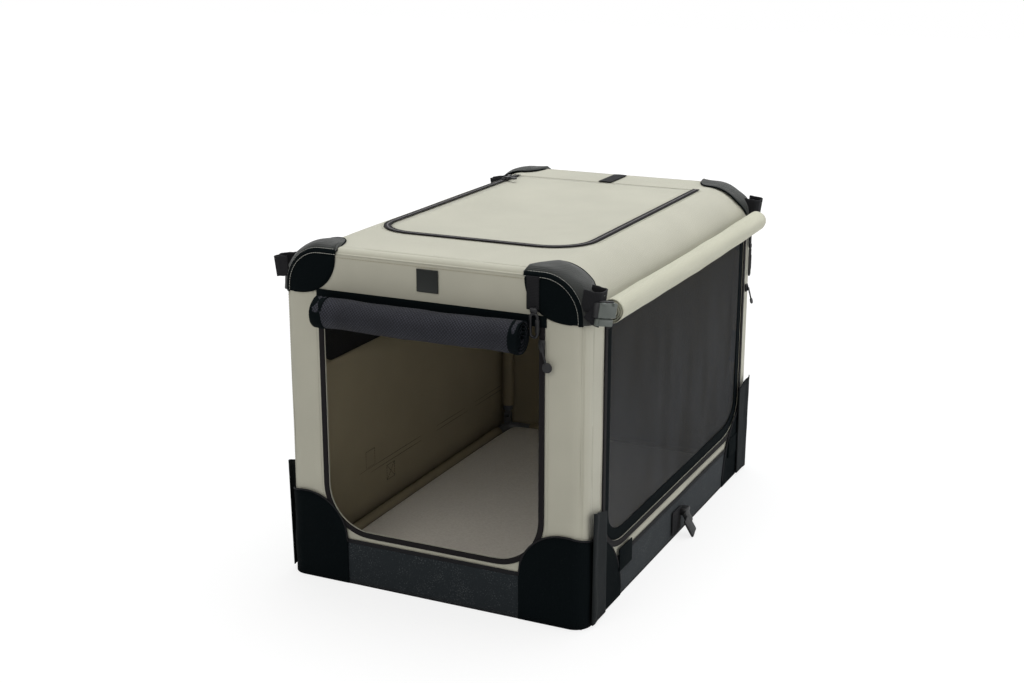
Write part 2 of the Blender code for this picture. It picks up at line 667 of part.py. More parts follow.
def make_front_hook():
    """The strap that comes down from the roof seam and the hook that takes the rolled door."""
    face = -HALF_LENGTH + TOP_PATCH_INSET - GAP
    x = FRONT_ROLL_RIGHT + GAP + HOOK_WIDTH / 2
    strap_top, hook_top = CRATE_HEIGHT - HOOK_STRAP_DROP, CRATE_HEIGHT - HOOK_DROP
    strap = box((x - HOOK_STRAP_WIDTH / 2, face - HOOK_STRAP_THICKNESS, strap_top - HOOK_STRAP_LENGTH),
                (x + HOOK_STRAP_WIDTH / 2, face, strap_top))
    out = -HALF_LENGTH - GAP - HEADER_THICKNESS - GAP
    hook = box((x - HOOK_WIDTH / 2, out - HOOK_DEPTH, hook_top - HOOK_LENGTH),
               (x + HOOK_WIDTH / 2, out, hook_top), 0, HOOK_DEPTH / 3, None, 3)
    place(join(strap, hook), "front_roll_hook", "plastic")


def make_side_door():
    """Zip round the side opening, the mesh door in it and the rolled cover above it."""
    face = HALF_WIDTH + GAP
    band = side_prism(1, SIDE_DOOR_FRONT + ZIP_WIDTH, SIDE_DOOR_REAR + ZIP_WIDTH,
                      SIDE_DOOR_BOTTOM - ZIP_WIDTH, SIDE_DOOR_TOP,
                      SIDE_DOOR_RADIUS + ZIP_WIDTH, OVERRUN)
    cut(band, side_prism(1, SIDE_DOOR_FRONT, SIDE_DOOR_REAR, SIDE_DOOR_BOTTOM,
                         SIDE_DOOR_TOP + OVERRUN, SIDE_DOOR_RADIUS, 2 * OVERRUN))
    within(band, slab(low_x=face, high_x=face + ZIP_THICKNESS))
    place(band, "side_zip", "zip")
    door = side_prism(1, SIDE_DOOR_FRONT - GAP, SIDE_DOOR_REAR - GAP, SIDE_DOOR_BOTTOM + GAP,
                      SIDE_DOOR_TOP - GAP, SIDE_DOOR_RADIUS - GAP, OVERRUN)
    within(door, slab(low_x=HALF_WIDTH - WALL, high_x=HALF_WIDTH))
    place(door, "side_mesh_door", "mesh", (HALF_WIDTH, 0, SIDE_DOOR_TOP))
    roll = spiral_roll(SIDE_ROLL_RADIUS, SIDE_ROLL_FRONT + SIDE_ROLL_REAR, math.pi)
    roll.data.transform(Matrix.Rotation(math.pi / 2, 4, "X"))
    middle = (SIDE_ROLL_REAR - SIDE_ROLL_FRONT) / 2
    roll_z = CRATE_HEIGHT - SIDE_ROLL_DROP
    roll.data.transform(Matrix.Translation((SIDE_ROLL_X, middle, roll_z)))
    place(roll, "side_cover_roll", "cream_fabric")
    y = SIDE_DOOR_REAR + ZIP_WIDTH + GAP + HOOK_WIDTH / 2
    hook_top = CRATE_HEIGHT - SIDE_HOOK_DROP
    hook = box((face, y - HOOK_WIDTH / 2, hook_top - SIDE_HOOK_LENGTH),
               (face + HOOK_WIDTH, y + HOOK_WIDTH / 2, hook_top), 2, SOFT_EDGE, None, 2)
    place(hook, "side_roll_hook", "plastic")


def make_base():
    """Floor sheet, fleece mat, dark skirt and the fabric on the lower corners."""
    floor = box((-HALF_WIDTH + INNER, -HALF_LENGTH + INNER, 0),
                (HALF_WIDTH - INNER, HALF_LENGTH - INNER, FLOOR_THICKNESS),
                2, CORNER_RADIUS - INNER)
    place(floor, "floor_panel", "dark_fabric")
    mat_x = FRAME_X - TUBE_RADIUS - MAT_CLEARANCE
    mat_y = FRAME_Y - TUBE_RADIUS - MAT_CLEARANCE
    mat_low = FLOOR_THICKNESS + GAP
    mat = box((-mat_x, -mat_y, mat_low), (mat_x, mat_y, mat_low + MAT_THICKNESS), 2, CORNER_RADIUS)
    crown = mat.modifiers.new("edges", "BEVEL")
    crown.width = MAT_EDGE
    crown.segments = 3
    crown.limit_method = "ANGLE"
    place(mat, "mat", "fleece")
    skirt = within(skin(SKIRT_INSET, -GAP), slab(low_z=0, high_z=SKIRT_HEIGHT))
    place(skirt, "base_skirt", "dark_fabric")
    for end, hand_y in ENDS.items():
        for side, hand_x in SIDES.items():
            make_lower_patch(f"{end}_{side}", hand_x, hand_y)
    x = HALF_WIDTH - SKIRT_INSET + GAP
    clip = box((x, BASE_CLIP_Y - BASE_CLIP_WIDTH / 2, BASE_CLIP_LOW),
               (x + BASE_CLIP_DEPTH, BASE_CLIP_Y + BASE_CLIP_WIDTH / 2,
                BASE_CLIP_LOW + BASE_CLIP_HEIGHT), 0, SOFT_EDGE, None, 2)
    slot_low = BASE_CLIP_LOW + BASE_CLIP_HEIGHT - 2 * BASE_CLIP_SLOT
    cut(clip, box((x - OVERRUN, BASE_CLIP_Y - BASE_CLIP_WIDTH / 3, slot_low),
                  (x + OVERRUN, BASE_CLIP_Y + BASE_CLIP_WIDTH / 3, slot_low + BASE_CLIP_SLOT)))
    place(clip, "base_clip", "plastic")


def corner_prisms(hand_x, hand_y, width, height, radius):
    """Two crossed prisms about a lower corner of the crate, each with its upper inner edge rounded."""
    inner_x, inner_y = HALF_WIDTH - width, HALF_LENGTH - width
    far_x, far_y = HALF_WIDTH + OVERRUN, HALF_LENGTH + OVERRUN

    def is_inner_top(mid, axis, inner):
        return mid.z > 0 and abs(abs(mid[axis]) - inner) < GAP

    xs = sorted((hand_x * inner_x, hand_x * far_x))
    ys = sorted((hand_y * inner_y, hand_y * far_y))
    across = box((xs[0], -far_y, -OVERRUN), (xs[1], far_y, height), 1, radius,
                 lambda mid: is_inner_top(mid, 0, inner_x))
    along = box((-far_x, ys[0], -OVERRUN), (far_x, ys[1], height), 0, radius,
                lambda mid: is_inner_top(mid, 1, inner_y))
    return across, along


def make_lower_patch(name, hand_x, hand_y):
    """The dark patch round a lower corner and the closure strap on its edge."""
    patch = skin(LOWER_PATCH_INSET, SKIRT_INSET - GAP)
    regions = corner_prisms(hand_x, hand_y, LOWER_PATCH_WIDTH, LOWER_PATCH_HEIGHT,
                            LOWER_PATCH_RADIUS)
    place(within(patch, *regions), name + "_lower_patch", "dark_fabric")
    strap = skin(CLOSURE_INSET, LOWER_PATCH_INSET - GAP)
    edge = HALF_LENGTH - CORNER_RADIUS
    xs = sorted((hand_x * HALF_WIDTH / 2, hand_x * (HALF_WIDTH + OVERRUN)))
    ys = sorted((hand_y * (edge - CLOSURE_WIDTH), hand_y * edge))
    within(strap, slab(xs[0], xs[1], ys[0], ys[1], CLOSURE_START, CLOSURE_HEIGHT))
    place(strap, name + "_closure_strap", "webbing")


def make_top():
    """Roof panel with its flap, zip and strap, and the caps and loops of the four corners."""
    seam = HALF_LENGTH - SEAM_INSET - GAP
    panel = within(skin(0, WALL), slab(low_y=-seam, high_y=seam, low_z=SHOULDER_Z + GAP))
    low, high = CRATE_HEIGHT - OVERRUN, CRATE_HEIGHT + OVERRUN
    cut(panel, flap_prism(ZIP_WIDTH / 2, low, high))
    place(panel, "top_panel", "fabric")
    pivot = (0, FLAP_REAR, CRATE_HEIGHT)
    flap = flap_prism(-ZIP_WIDTH / 2, CRATE_HEIGHT - WALL, CRATE_HEIGHT)
    cut(flap, slab(low_y=FLAP_REAR - GAP))
    place(flap, "top_flap", "fabric", pivot)
    band = flap_prism(ZIP_WIDTH / 2 - GAP, CRATE_HEIGHT - WALL, CRATE_HEIGHT)
    inner = flap_prism(GAP - ZIP_WIDTH / 2, low, high)
    inner.data.transform(Matrix.Translation((0, GAP, 0)))
    cut(band, inner, slab(low_y=FLAP_REAR - GAP))
    place(band, "top_zip", "zip")
    strap_low = CRATE_HEIGHT + GAP
    strap = box((-FLAP_STRAP_WIDTH / 2, FLAP_REAR + FLAP_STRAP_SETBACK, strap_low),
                (FLAP_STRAP_WIDTH / 2, FLAP_REAR + FLAP_STRAP_LENGTH,
                 strap_low + FLAP_STRAP_THICKNESS))
    place(strap, "flap_strap", "webbing")
    for end, hand_y in ENDS.items():
        for side, hand_x in SIDES.items():
            make_top_corner(f"{end}_{side}", hand_x, hand_y)


def make_top_corner(name, hand_x, hand_y):
    """The dark cap over a top corner and the webbing loop beside it."""
    low_z = CRATE_HEIGHT - TOP_PATCH_HEIGHT
    high_z = CRATE_HEIGHT + OVERRUN
    inner_x = HALF_WIDTH - TOP_PATCH_WIDTH
    xs = sorted((hand_x * inner_x, hand_x * (HALF_WIDTH + OVERRUN)))
    region = box((xs[0], -CRATE_LENGTH, low_z), (xs[1], CRATE_LENGTH, high_z), 1, TOP_PATCH_RADIUS,
                 lambda mid: mid.z < CRATE_HEIGHT and abs(abs(mid.x) - inner_x) < GAP)
    ys = sorted((hand_y * (HALF_LENGTH - TOP_PATCH_DEPTH), hand_y * (HALF_LENGTH + OVERRUN)))
    within(region, slab(low_y=ys[0], high_y=ys[1]))
    cap = within(skin(TOP_PATCH_INSET, -GAP), region)
    place(cap, name + "_top_patch", "dark_fabric")

    face = HALF_WIDTH - TOP_PATCH_INSET + GAP
    xs = sorted((hand_x * face, hand_x * (face + LOOP_REACH)))
    loop_end = HALF_LENGTH - LOOP_CORNER_INSET
    ys = sorted((hand_y * (loop_end - LOOP_LENGTH), hand_y * loop_end))
    low, high = SHOULDER_Z - LOOP_HEIGHT / 2, SHOULDER_Z + LOOP_HEIGHT / 2
    loop = box((xs[0], ys[0], low), (xs[1], ys[1], high), 2, LOOP_ROUND, None, 4)
    hole = box((xs[0] + LOOP_STRAP, ys[0] + LOOP_STRAP, low - OVERRUN),
               (xs[1] - LOOP_STRAP, ys[1] - LOOP_STRAP, high + OVERRUN), 2,
               LOOP_ROUND - LOOP_STRAP, None, 4)
    cut(loop, hole)
    bend = Vector((hand_x * (HALF_WIDTH - HOOP_RADIUS), 0, SHOULDER_Z))
    tilt = Matrix.Rotation(-hand_x * LOOP_TILT, 4, "Y")
    loop.data.transform(Matrix.Translation(bend) @ tilt @ Matrix.Translation(-bend))
    place(loop, name + "_webbing_loop", "webbing")


def make_buckle():
    """A side-release buckle: the socket hangs at the corner and the clip pulls out of it downwards."""
    x = HALF_WIDTH - TOP_PATCH_INSET + GAP
    y_low, y_high = -BUCKLE_Y - BUCKLE_WIDTH / 2, -BUCKLE_Y + BUCKLE_WIDTH / 2
    middle_x = x + BUCKLE_DEPTH / 2
    foot = BUCKLE_TOP - BUCKLE_HEIGHT
    socket = box((x, y_low, foot), (x + BUCKLE_DEPTH, y_high, BUCKLE_TOP), 2, SOFT_EDGE, None, 2)
    room = box((middle_x - CLIP_TONGUE_DEPTH / 2 - GAP, -BUCKLE_Y - CLIP_TONGUE_WIDTH / 2 - GAP,
                foot - OVERRUN),
               (middle_x + CLIP_TONGUE_DEPTH / 2 + GAP, -BUCKLE_Y + CLIP_TONGUE_WIDTH / 2 + GAP,
                foot + BUCKLE_CAVITY))
    place(cut(socket, room), "buckle_socket", "plastic")
    clip_top = foot - GAP
    clip = box((x, y_low, clip_top - CLIP_HEIGHT), (x + BUCKLE_DEPTH, y_high, clip_top),
               2, SOFT_EDGE, None, 2)
    tongue = box((middle_x - CLIP_TONGUE_DEPTH / 2, -BUCKLE_Y - CLIP_TONGUE_WIDTH / 2,
                  clip_top - SOFT_EDGE),
                 (middle_x + CLIP_TONGUE_DEPTH / 2, -BUCKLE_Y + CLIP_TONGUE_WIDTH / 2,
                  clip_top + CLIP_TONGUE))
    place(join(clip, tongue), "buckle_clip", "plastic", (middle_x, -BUCKLE_Y, clip_top))


def slider_shape():
    """A zip slider in its own space: it lies on XY, its pull hangs towards -Y."""
    body = box((-SLIDER_WIDTH / 2, 0, 0), (SLIDER_WIDTH / 2, SLIDER_LENGTH, SLIDER_THICKNESS),
               2, SLIDER_WIDTH / 4, None, 2)
    pull = box((-PULL_WIDTH / 2, -PULL_LENGTH, 0),
               (PULL_WIDTH / 2, SLIDER_LENGTH / 2, PULL_THICKNESS))
    tag = cylinder((0, -PULL_LENGTH, PULL_THICKNESS / 2), 2, TAG_RADIUS, PULL_THICKNESS)
    return join(body, pull, tag)


def make_sliders():
    """One slider on the front zip, one on the side zip and one on the roof zip."""
    out = -HALF_LENGTH - GAP - ZIP_THICKNESS - GAP
    front_place = (DOOR_HALF_WIDTH + ZIP_WIDTH / 2, out, CRATE_HEIGHT - FRONT_SLIDER_DROP)
    slider = slider_shape()
    slider.data.transform(Matrix.Rotation(math.pi / 2, 4, "X"))
    slider.data.transform(Matrix.Translation(front_place))
    place(slider, "front_zip_slider", "plastic", front_place)
    side_place = (HALF_WIDTH + GAP + ZIP_THICKNESS + GAP,
                  SIDE_DOOR_REAR + ZIP_WIDTH / 2, CRATE_HEIGHT - SIDE_SLIDER_DROP)
    slider = slider_shape()
    slider.data.transform(Matrix.Rotation(math.pi / 2, 4, "Z")
                          @ Matrix.Rotation(math.pi / 2, 4, "X"))
    slider.data.transform(Matrix.Translation(side_place))
    place(slider, "side_zip_slider", "plastic", side_place)
    top_place = (-FLAP_HALF_WIDTH, FLAP_REAR - TOP_SLIDER_SETBACK, CRATE_HEIGHT + GAP)
    slider = slider_shape()
    slider.data.transform(Matrix.Translation(top_place))
    place(slider, "top_zip_slider", "plastic", top_place)


def main():
    clear_scene()
    start_crate()
    make_base_frame()
    for end in ENDS:
        make_hoop(end)
        for side in SIDES:
            make_lower_leg(end, side)
            make_upper_leg(end, side)
    for side in SIDES:
        make_rail(side)
    make_base()
    make_walls()
    make_front_door()
    make_front_hook()
    make_side_door()
    make_top()
    make_buckle()
    make_sliders()
    print("pieces:", len(PARTS))


main()
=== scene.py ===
# %% [markdown]
# # A soft folding dog crate
#
# The crate is a bag of woven polyester pulled over a folding frame of steel tube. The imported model
# gives the true sizes and the frame inside. This notebook dresses it: every fabric panel, zip, strap
# and buckle is modelled as the thing that it is, in metres, and rides on the body that carries it.

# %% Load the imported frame
import math

import bmesh
import bpy
from mathutils import Matrix, Vector, geometry, kdtree, noise


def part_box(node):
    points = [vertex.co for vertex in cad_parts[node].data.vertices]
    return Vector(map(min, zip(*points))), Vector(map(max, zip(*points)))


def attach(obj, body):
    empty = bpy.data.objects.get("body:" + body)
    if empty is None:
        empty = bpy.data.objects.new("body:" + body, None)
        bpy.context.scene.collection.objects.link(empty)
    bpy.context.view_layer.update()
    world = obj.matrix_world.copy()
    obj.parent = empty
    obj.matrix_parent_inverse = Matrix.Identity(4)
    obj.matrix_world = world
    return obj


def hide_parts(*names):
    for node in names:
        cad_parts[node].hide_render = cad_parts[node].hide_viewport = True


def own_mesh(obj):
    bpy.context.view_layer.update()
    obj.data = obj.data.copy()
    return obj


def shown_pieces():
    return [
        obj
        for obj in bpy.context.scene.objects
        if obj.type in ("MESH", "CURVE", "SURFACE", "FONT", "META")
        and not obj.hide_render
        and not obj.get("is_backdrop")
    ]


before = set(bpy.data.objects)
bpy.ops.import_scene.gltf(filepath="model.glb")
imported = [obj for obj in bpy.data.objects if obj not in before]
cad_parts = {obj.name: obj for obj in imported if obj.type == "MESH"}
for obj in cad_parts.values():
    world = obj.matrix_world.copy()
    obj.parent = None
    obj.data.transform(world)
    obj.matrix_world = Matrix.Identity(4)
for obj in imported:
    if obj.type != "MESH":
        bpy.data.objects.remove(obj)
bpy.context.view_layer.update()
floor_low, floor_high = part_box("floor_panel")
HOME = Vector(((floor_low.x + floor_high.x) / 2, (floor_low.y + floor_high.y) / 2, 0))

# %% [markdown]
# ## Camera, floor and light
#
# The camera was fitted to the corners of the crate in the photograph: it stands to the right of the
# open door, at almost twice the height of the crate. The floor is pale and plain. One large soft lamp
# hangs above, a weaker one stands on the right and the weakest in front, so the roof is the lightest
# side.

# %% Camera
CAMERA_PLACE = Vector((0.859, -1.897, 0.854))
CAMERA_TURN = math.radians(25.39)
CAMERA_DROP = math.radians(16.04)
LENS = 54.8

camera = bpy.data.objects.new("camera", bpy.data.cameras.new("camera"))
camera.data.lens = LENS
camera.data.sensor_width = 36.0
camera.location = CAMERA_PLACE + HOME
camera.rotation_euler = (math.pi / 2 - CAMERA_DROP, 0, CAMERA_TURN)
bpy.context.scene.collection.objects.link(camera)
bpy.context.scene.camera = camera
bpy.context.scene.view_settings.view_transform = "Standard"
print(f"camera: {LENS} mm lens, {math.degrees(CAMERA_DROP):.1f} degrees down")


# %% Lamps
def soft_lamp(name, place, target, size, power, colour=(1, 1, 1)):
    """A round area lamp at a place, turned towards a target."""
    lamp = bpy.data.objects.new(name, bpy.data.lights.new(name, "AREA"))
    lamp.data.shape = "DISK"
    lamp.data.size = size
    lamp.data.energy = power
    lamp.data.color = colour
    lamp.location = place
    lamp.rotation_euler = (Vector(place) - Vector(target)).to_track_quat("Z", "Y").to_euler()
    bpy.context.scene.collection.objects.link(lamp)
    print(f"lamp {name}: {power} W, {size} m across")


soft_lamp("sky", (0.1, 0.6, 2.6), (0, 0, 0.3), 2.2, 50, (0.96, 0.99, 1.0))
soft_lamp("right", (2.6, 0.2, 0.7), (0, 0, 0.2), 1.8, 17)
soft_lamp("front", (0.0, -1.9, 1.60), (0, -0.2, 0.1), 1.6, 10.5, (1.0, 0.98, 0.93))


# %% [markdown]
# ## Writing materials as sums
#
# A node tree is easier to read as arithmetic. A Wire is the output of a node. Adding or multiplying
# wires adds the Math nodes, and a Finish makes every other node through one method.

# %% Wires and finishes
class Wire:
    """An output socket that can be used in arithmetic."""

    def __init__(self, finish, socket):
        self.finish, self.socket = finish, socket

    def maths(self, operation, left, right=None):
        values = {0: left} if right is None else {0: left, 1: right}
        return self.finish.node("ShaderNodeMath", {"operation": operation}, values)

    def __add__(self, other):
        return self.maths("ADD", self, other)

    def __sub__(self, other):
        return self.maths("SUBTRACT", self, other)

    def __rsub__(self, other):
        return self.maths("SUBTRACT", other, self)

    def __mul__(self, other):
        return self.maths("MULTIPLY", self, other)

    def __gt__(self, other):
        return self.maths("GREATER_THAN", self, other)

    __radd__ = __add__
    __rmul__ = __mul__

    def sine(self):
        return self.maths("SINE", self)

    def size(self):
        return self.maths("ABSOLUTE", self)


class Finish:
    """A material in the making. Its fixed values are set on the shader's own sockets."""

    def __init__(self, name, roughness=0.8, **fixed):
        self.material = bpy.data.materials.new(name)
        self.material.use_nodes = True
        self.tree = self.material.node_tree
        self.shader = self.tree.nodes["Principled BSDF"]
        self.shader.inputs["Roughness"].default_value = roughness
        for socket, value in fixed.items():
            self.shader.inputs[socket.replace("_", " ")].default_value = value

    def node(self, kind, settings=None, inputs=None, output=0):
        """Adds a node. Settings are its own fields, and an input is a value or a wire."""
        made = self.tree.nodes.new(kind)
        for key, value in (settings or {}).items():
            if key == "stops":
                for stop, (place, colour) in zip(made.color_ramp.elements, value):
                    stop.position, stop.color = place, (*colour, 1)
            else:
                setattr(made, key, value)
        for key, value in (inputs or {}).items():
            if isinstance(value, Wire):
                self.tree.links.new(value.socket, made.inputs[key])
            else:
                made.inputs[key].default_value = value
        return Wire(self, made.outputs[output])

    def feed(self, socket, wire):
        self.tree.links.new(wire.socket, self.shader.inputs[socket])

    def place(self):
        return self.node("ShaderNodeTexCoord", output="Object")

    def cloth_map(self):
        return self.node("ShaderNodeUVMap", {"uv_map": "cloth"})

    def axes(self, vector):
        return [self.node("ShaderNodeSeparateXYZ", {}, {0: vector}, axis) for axis in "XYZ"]

    def noise(self, vector, scale, detail=2.0):
        sockets = {"Vector": vector, "Scale": scale, "Detail": detail}
        return self.node("ShaderNodeTexNoise", {}, sockets)

    def blend(self, share, first, second):
        """A colour between two colours, or wires of colours, by a share from 0 to 1."""
        inputs = {0: share, 6: colour_of(first), 7: colour_of(second)}
        return self.node("ShaderNodeMix", {"data_type": "RGBA"}, inputs, 2)

    def bump(self, height, strength, distance):
        sockets = {"Height": height, "Strength": strength, "Distance": distance}
        self.feed("Normal", self.node("ShaderNodeBump", {}, sockets))


def colour_of(value):
    return value if isinstance(value, Wire) else (*value, 1)


print("a colour as a socket takes it:", colour_of((0.5, 0.4, 0.3)))


# %% [markdown]
# ## The finishes
#
# Woven polyester is a grid of threads. On the real cloth a thread is about half a millimetre wide. The
# sum of three sines, one for each axis, gives such a grid on every flat side of the crate at once,
# because the axis that points out of a side hardly changes there. Slow noise over it gives the faint
# cloudiness of cloth that was folded and pulled flat again.

# %% Woven cloth
THREAD = 0.0011


def weave(finish, pitch=THREAD):
    """From about -3 to 3: high on the crossings of the threads."""
    waves = [(axis * (2 * math.pi / pitch)).sine() for axis in finish.axes(finish.place())]
    return waves[0] + waves[1] + waves[2]


def woven(name, colour, spread=0.07, pitch=THREAD, relief=0.25, roughness=0.85, **fixed):
    """Woven cloth: threads, slow clouds of tone and a fine relief."""
    finish = Finish(name, roughness, **fixed)
    place = finish.place()
    clouds = finish.noise(place, 9.0, 3.0)
    threads = weave(finish, pitch)
    darker = tuple(channel * (1 - 2 * spread) for channel in colour)
    lighter = tuple(min(channel * (1 + 2 * spread), 1) for channel in colour)
    cloudy = finish.blend(clouds, darker, lighter)
    shade = threads * 0.03 + finish.noise(place, 900.0, 0.0) * 0.12
    finish.feed("Base Color", finish.blend(shade, cloudy, darker))
    finish.bump(threads + finish.noise(place, 1400.0, 0.0) * 2.0, relief, 0.0003)
    return finish.material


taupe = woven("taupe_polyester", (0.465, 0.452, 0.372), Sheen_Weight=0.15, Sheen_Roughness=0.4)
lining = woven("taupe_lining", (0.30, 0.255, 0.165), relief=0.2)
cream = woven("cream_reverse", (0.50, 0.49, 0.385), spread=0.04, Sheen_Weight=0.15)
dark = woven("dark_polyester", (0.0022, 0.0040, 0.0048), spread=0.15, pitch=0.0016, relief=0.3,
             roughness=0.9, Specular_IOR_Level=0.05)
strap_cloth = woven("strap_cloth", (0.009, 0.011, 0.012), spread=0.2, pitch=0.0016, relief=0.3,
                    roughness=0.85, Specular_IOR_Level=0.15)
# The lobes' cloth is the dark cloth painted about ten times lighter: painted light from above on the
# shoulder.
painted_lit_dark = woven("worn_polyester", (0.030, 0.032, 0.030), spread=0.20, pitch=0.0016, relief=0.4,
                  roughness=0.8, Sheen_Weight=0.25, Sheen_Roughness=0.4, Specular_IOR_Level=0.25)
print("woven, pitch", THREAD, "m:", [cloth.name for cloth in (taupe, lining, cream)])


# %% [markdown]
# The skirt is a coarse dark cloth with pale specks. Painting them in an image would need a map of its
# own. Here a fine noise and a slow one are added, and only their peaks pass a threshold, so the specks
# gather in clouds as they do on worn cloth.

# %% Speckled skirt cloth
def speckled(name, colour, speck):
    finish = Finish(name, 0.75, Sheen_Weight=0.05, Specular_IOR_Level=0.20)
    specks = finish.noise(finish.place(), 620.0, 1.0)
    clouds = finish.noise(finish.place(), 45.0, 2.0)
    lit = (specks + clouds * 0.35) > 0.83
    finish.feed("Base Color", finish.blend(lit * 0.8, colour, speck))
    finish.bump(specks, 0.5, 0.0006)
    return finish.material


skirt_cloth = speckled("ribbed_polyester", (0.009, 0.013, 0.016), (0.050, 0.056, 0.060))
print("skirt:", len(skirt_cloth.node_tree.nodes), "nodes")


# %% [markdown]
# ## Mesh
#
# The door and the window are a knitted mesh. Its holes are about a millimetre wide, too many to model.
# The product of two sines is a chequer of bumps and dents. Where it is far from 0 the mesh of the door
# has a hole: Alpha is 0 there and the inside shows through. The roll is many layers thick and the
# window's mesh is close, so both do without holes.

# %% Knitted mesh
def knitted(name, colour, pitch, open_above=None, wear_and_light=0.0):
    """Mesh with painted fold shade, and painted light that makes its foot paler."""
    finish = Finish(name, 0.75, Sheen_Weight=0.03, Specular_IOR_Level=0.20)
    u, v, _ = finish.axes(finish.cloth_map())
    loops = (u * (2 * math.pi / pitch)).sine() * (v * (2 * math.pi / pitch)).sine()
    place = finish.place()
    upright = finish.node("ShaderNodeMapping", {}, {"Vector": place, "Scale": (1, 1, 0.22)})
    # Painted shade: long upright streaks of darker and lighter mesh, as folds catch the light.
    folds = (finish.noise(upright, 22.0, 3.0) - 0.35) * 2.6
    # Painted light: paler towards the foot, where light from the front falls.
    foot = (0.34 - finish.axes(place)[2]) * wear_and_light
    darker = tuple(channel * 0.16 for channel in colour)
    share = (loops > 0.1) * (folds * (foot + 0.45) + 0.05)
    finish.feed("Base Color", finish.blend(share, darker, colour))
    finish.bump(loops, 0.7, 0.0006)
    if open_above is not None:
        finish.feed("Alpha", 1 - (loops.size() > open_above))
    return finish.material


# The door's mesh has painted fold shade and is painted paler at its foot, as light from the front.
mesh_cloth = knitted("door_mesh", (0.046, 0.051, 0.060), 0.0026, 0.66, 8.0)
rolled_mesh = knitted("rolled_mesh", (0.066, 0.069, 0.094), 0.0042)
print("mesh:", mesh_cloth.name, "with holes,", rolled_mesh.name, "without")


# %% [markdown]
# ## Webbing, zips, plastic, fleece and steel
#
# Webbing has ribs across its length, a coil zip has teeth a millimetre and a half apart, and both
# follow the cloth map of their piece. Moulded plastic is smooth with a fine grain. The mat is fleece:
# noise at two scales gives the tufts and the slow waves of the pile.

# %% Ribbed and moulded finishes
def striped(name, colour, light, pitch, roughness, relief):
    """Ribs across a band and finer ones along it, both measured on the cloth map."""
    finish = Finish(name, roughness, Specular_IOR_Level=0.2)
    u, v, _ = finish.axes(finish.cloth_map())
    ribs = (u * (2 * math.pi / pitch)).sine()
    weft = (v * (2 * math.pi / (pitch * 0.7))).sine()
    finish.feed("Base Color", finish.blend((ribs + weft + 2) * 0.25, colour, light))
    finish.bump(ribs + weft * 0.4, relief, 0.0004)
    return finish.material


def moulded(name, colour, roughness):
    """Plastic or thread with a fine grain, worn in places."""
    finish = Finish(name, roughness, Specular_IOR_Level=0.35)
    grain = finish.noise(finish.place(), 700.0, 2.0)
    # Here the noise is wear only: a little lighter and rougher in patches.
    wear_and_light = finish.noise(finish.place(), 60.0, 2.0)
    lighter = tuple(channel * 1.35 + 0.004 for channel in colour)
    finish.feed("Base Color", finish.blend(wear_and_light, colour, lighter))
    finish.feed("Roughness", wear_and_light * 0.15 + (roughness - 0.07))
    finish.bump(grain, 0.15, 0.0002)
    return finish.material


webbing = striped("black_webbing", (0.003, 0.003, 0.004), (0.012, 0.012, 0.014), 0.0018, 0.8, 0.5)
tape = striped("zip_tape", (0.003, 0.0025, 0.003), (0.009, 0.007, 0.008), 0.0010, 0.85, 0.3)
coil = striped("zip_coil", (0.016, 0.014, 0.016), (0.080, 0.074, 0.076), 0.0015, 0.5, 0.9)
# The roof's coil is the same coil painted about three times lighter: painted light where the roof faces
# the lamp above.
lit_roof_coil = striped("roof_zip_coil", (0.050, 0.047, 0.050), (0.240, 0.232, 0.232), 0.0015, 0.5, 0.9)
plastic = moulded("black_plastic", (0.007, 0.007, 0.008), 0.42)
grey_plastic = moulded("grey_plastic", (0.085, 0.096, 0.088), 0.38)
thread = moulded("pale_thread", (0.42, 0.42, 0.38), 0.6)
dark_thread = moulded("brown_thread", (0.050, 0.044, 0.032), 0.7)
print("trims:", [trim.name for trim in (webbing, tape, coil, plastic, thread)])


# %% Fleece and coated steel
def fleece_finish():
    finish = Finish("fleece", 0.95, Sheen_Weight=0.35, Sheen_Roughness=0.6)
    place = finish.place()
    tufts = finish.noise(place, 330.0, 3.0)
    waves = finish.noise(place, 30.0, 2.0)
    mixed = finish.blend(tufts, (0.58, 0.53, 0.46), (0.90, 0.86, 0.79))
    finish.feed("Base Color", finish.blend(waves * 0.4, mixed, (0.76, 0.71, 0.64)))
    finish.bump(tufts + waves, 0.6, 0.0015)
    return finish.material


def coated_steel():
    finish = Finish("coated_tube", 0.35)
    grain = finish.noise(finish.place(), 500.0, 2.0)
    wear = finish.noise(finish.place(), 35.0, 4.0)
    finish.feed("Base Color", finish.blend(wear, (0.085, 0.088, 0.092), (0.15, 0.152, 0.156)))
    finish.feed("Roughness", wear * 0.25 + 0.3)
    finish.bump(grain, 0.2, 0.0002)
    return finish.material


fleece = fleece_finish()
steel = coated_steel()
print("materials so far:", len(bpy.data.materials))

# %% [markdown]
# ## Sizes
#
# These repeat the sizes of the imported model, in metres, about the middle of the crate's floor. The
# front door faces -Y and the mesh side door +X.

# %% Sizes of the crate
HALF_WIDTH, HALF_LENGTH, HEIGHT = 0.205, 0.320, 0.440
SHOULDER_RADIUS, CORNER, EDGE = 0.055, 0.018, 0.010
SHOULDER = HEIGHT - SHOULDER_RADIUS
ARC = SHOULDER_RADIUS * math.pi / 2
FLAT = 2 * (HALF_WIDTH - SHOULDER_RADIUS)
ROUND = 2 * SHOULDER + 2 * ARC + FLAT
CLOTH = 0.0012
HEM = 0.004
LINING_LIFT = -0.0044
INSIDE = Vector((0, 0, 0.2))
ENDS, SIDES = (("front", -1), ("rear", 1)), (("left", -1), ("right", 1))

# Passed as folds to the pieces at the foot; finish_piece only reads whether it is set
FOLDED_LOW = 0.47
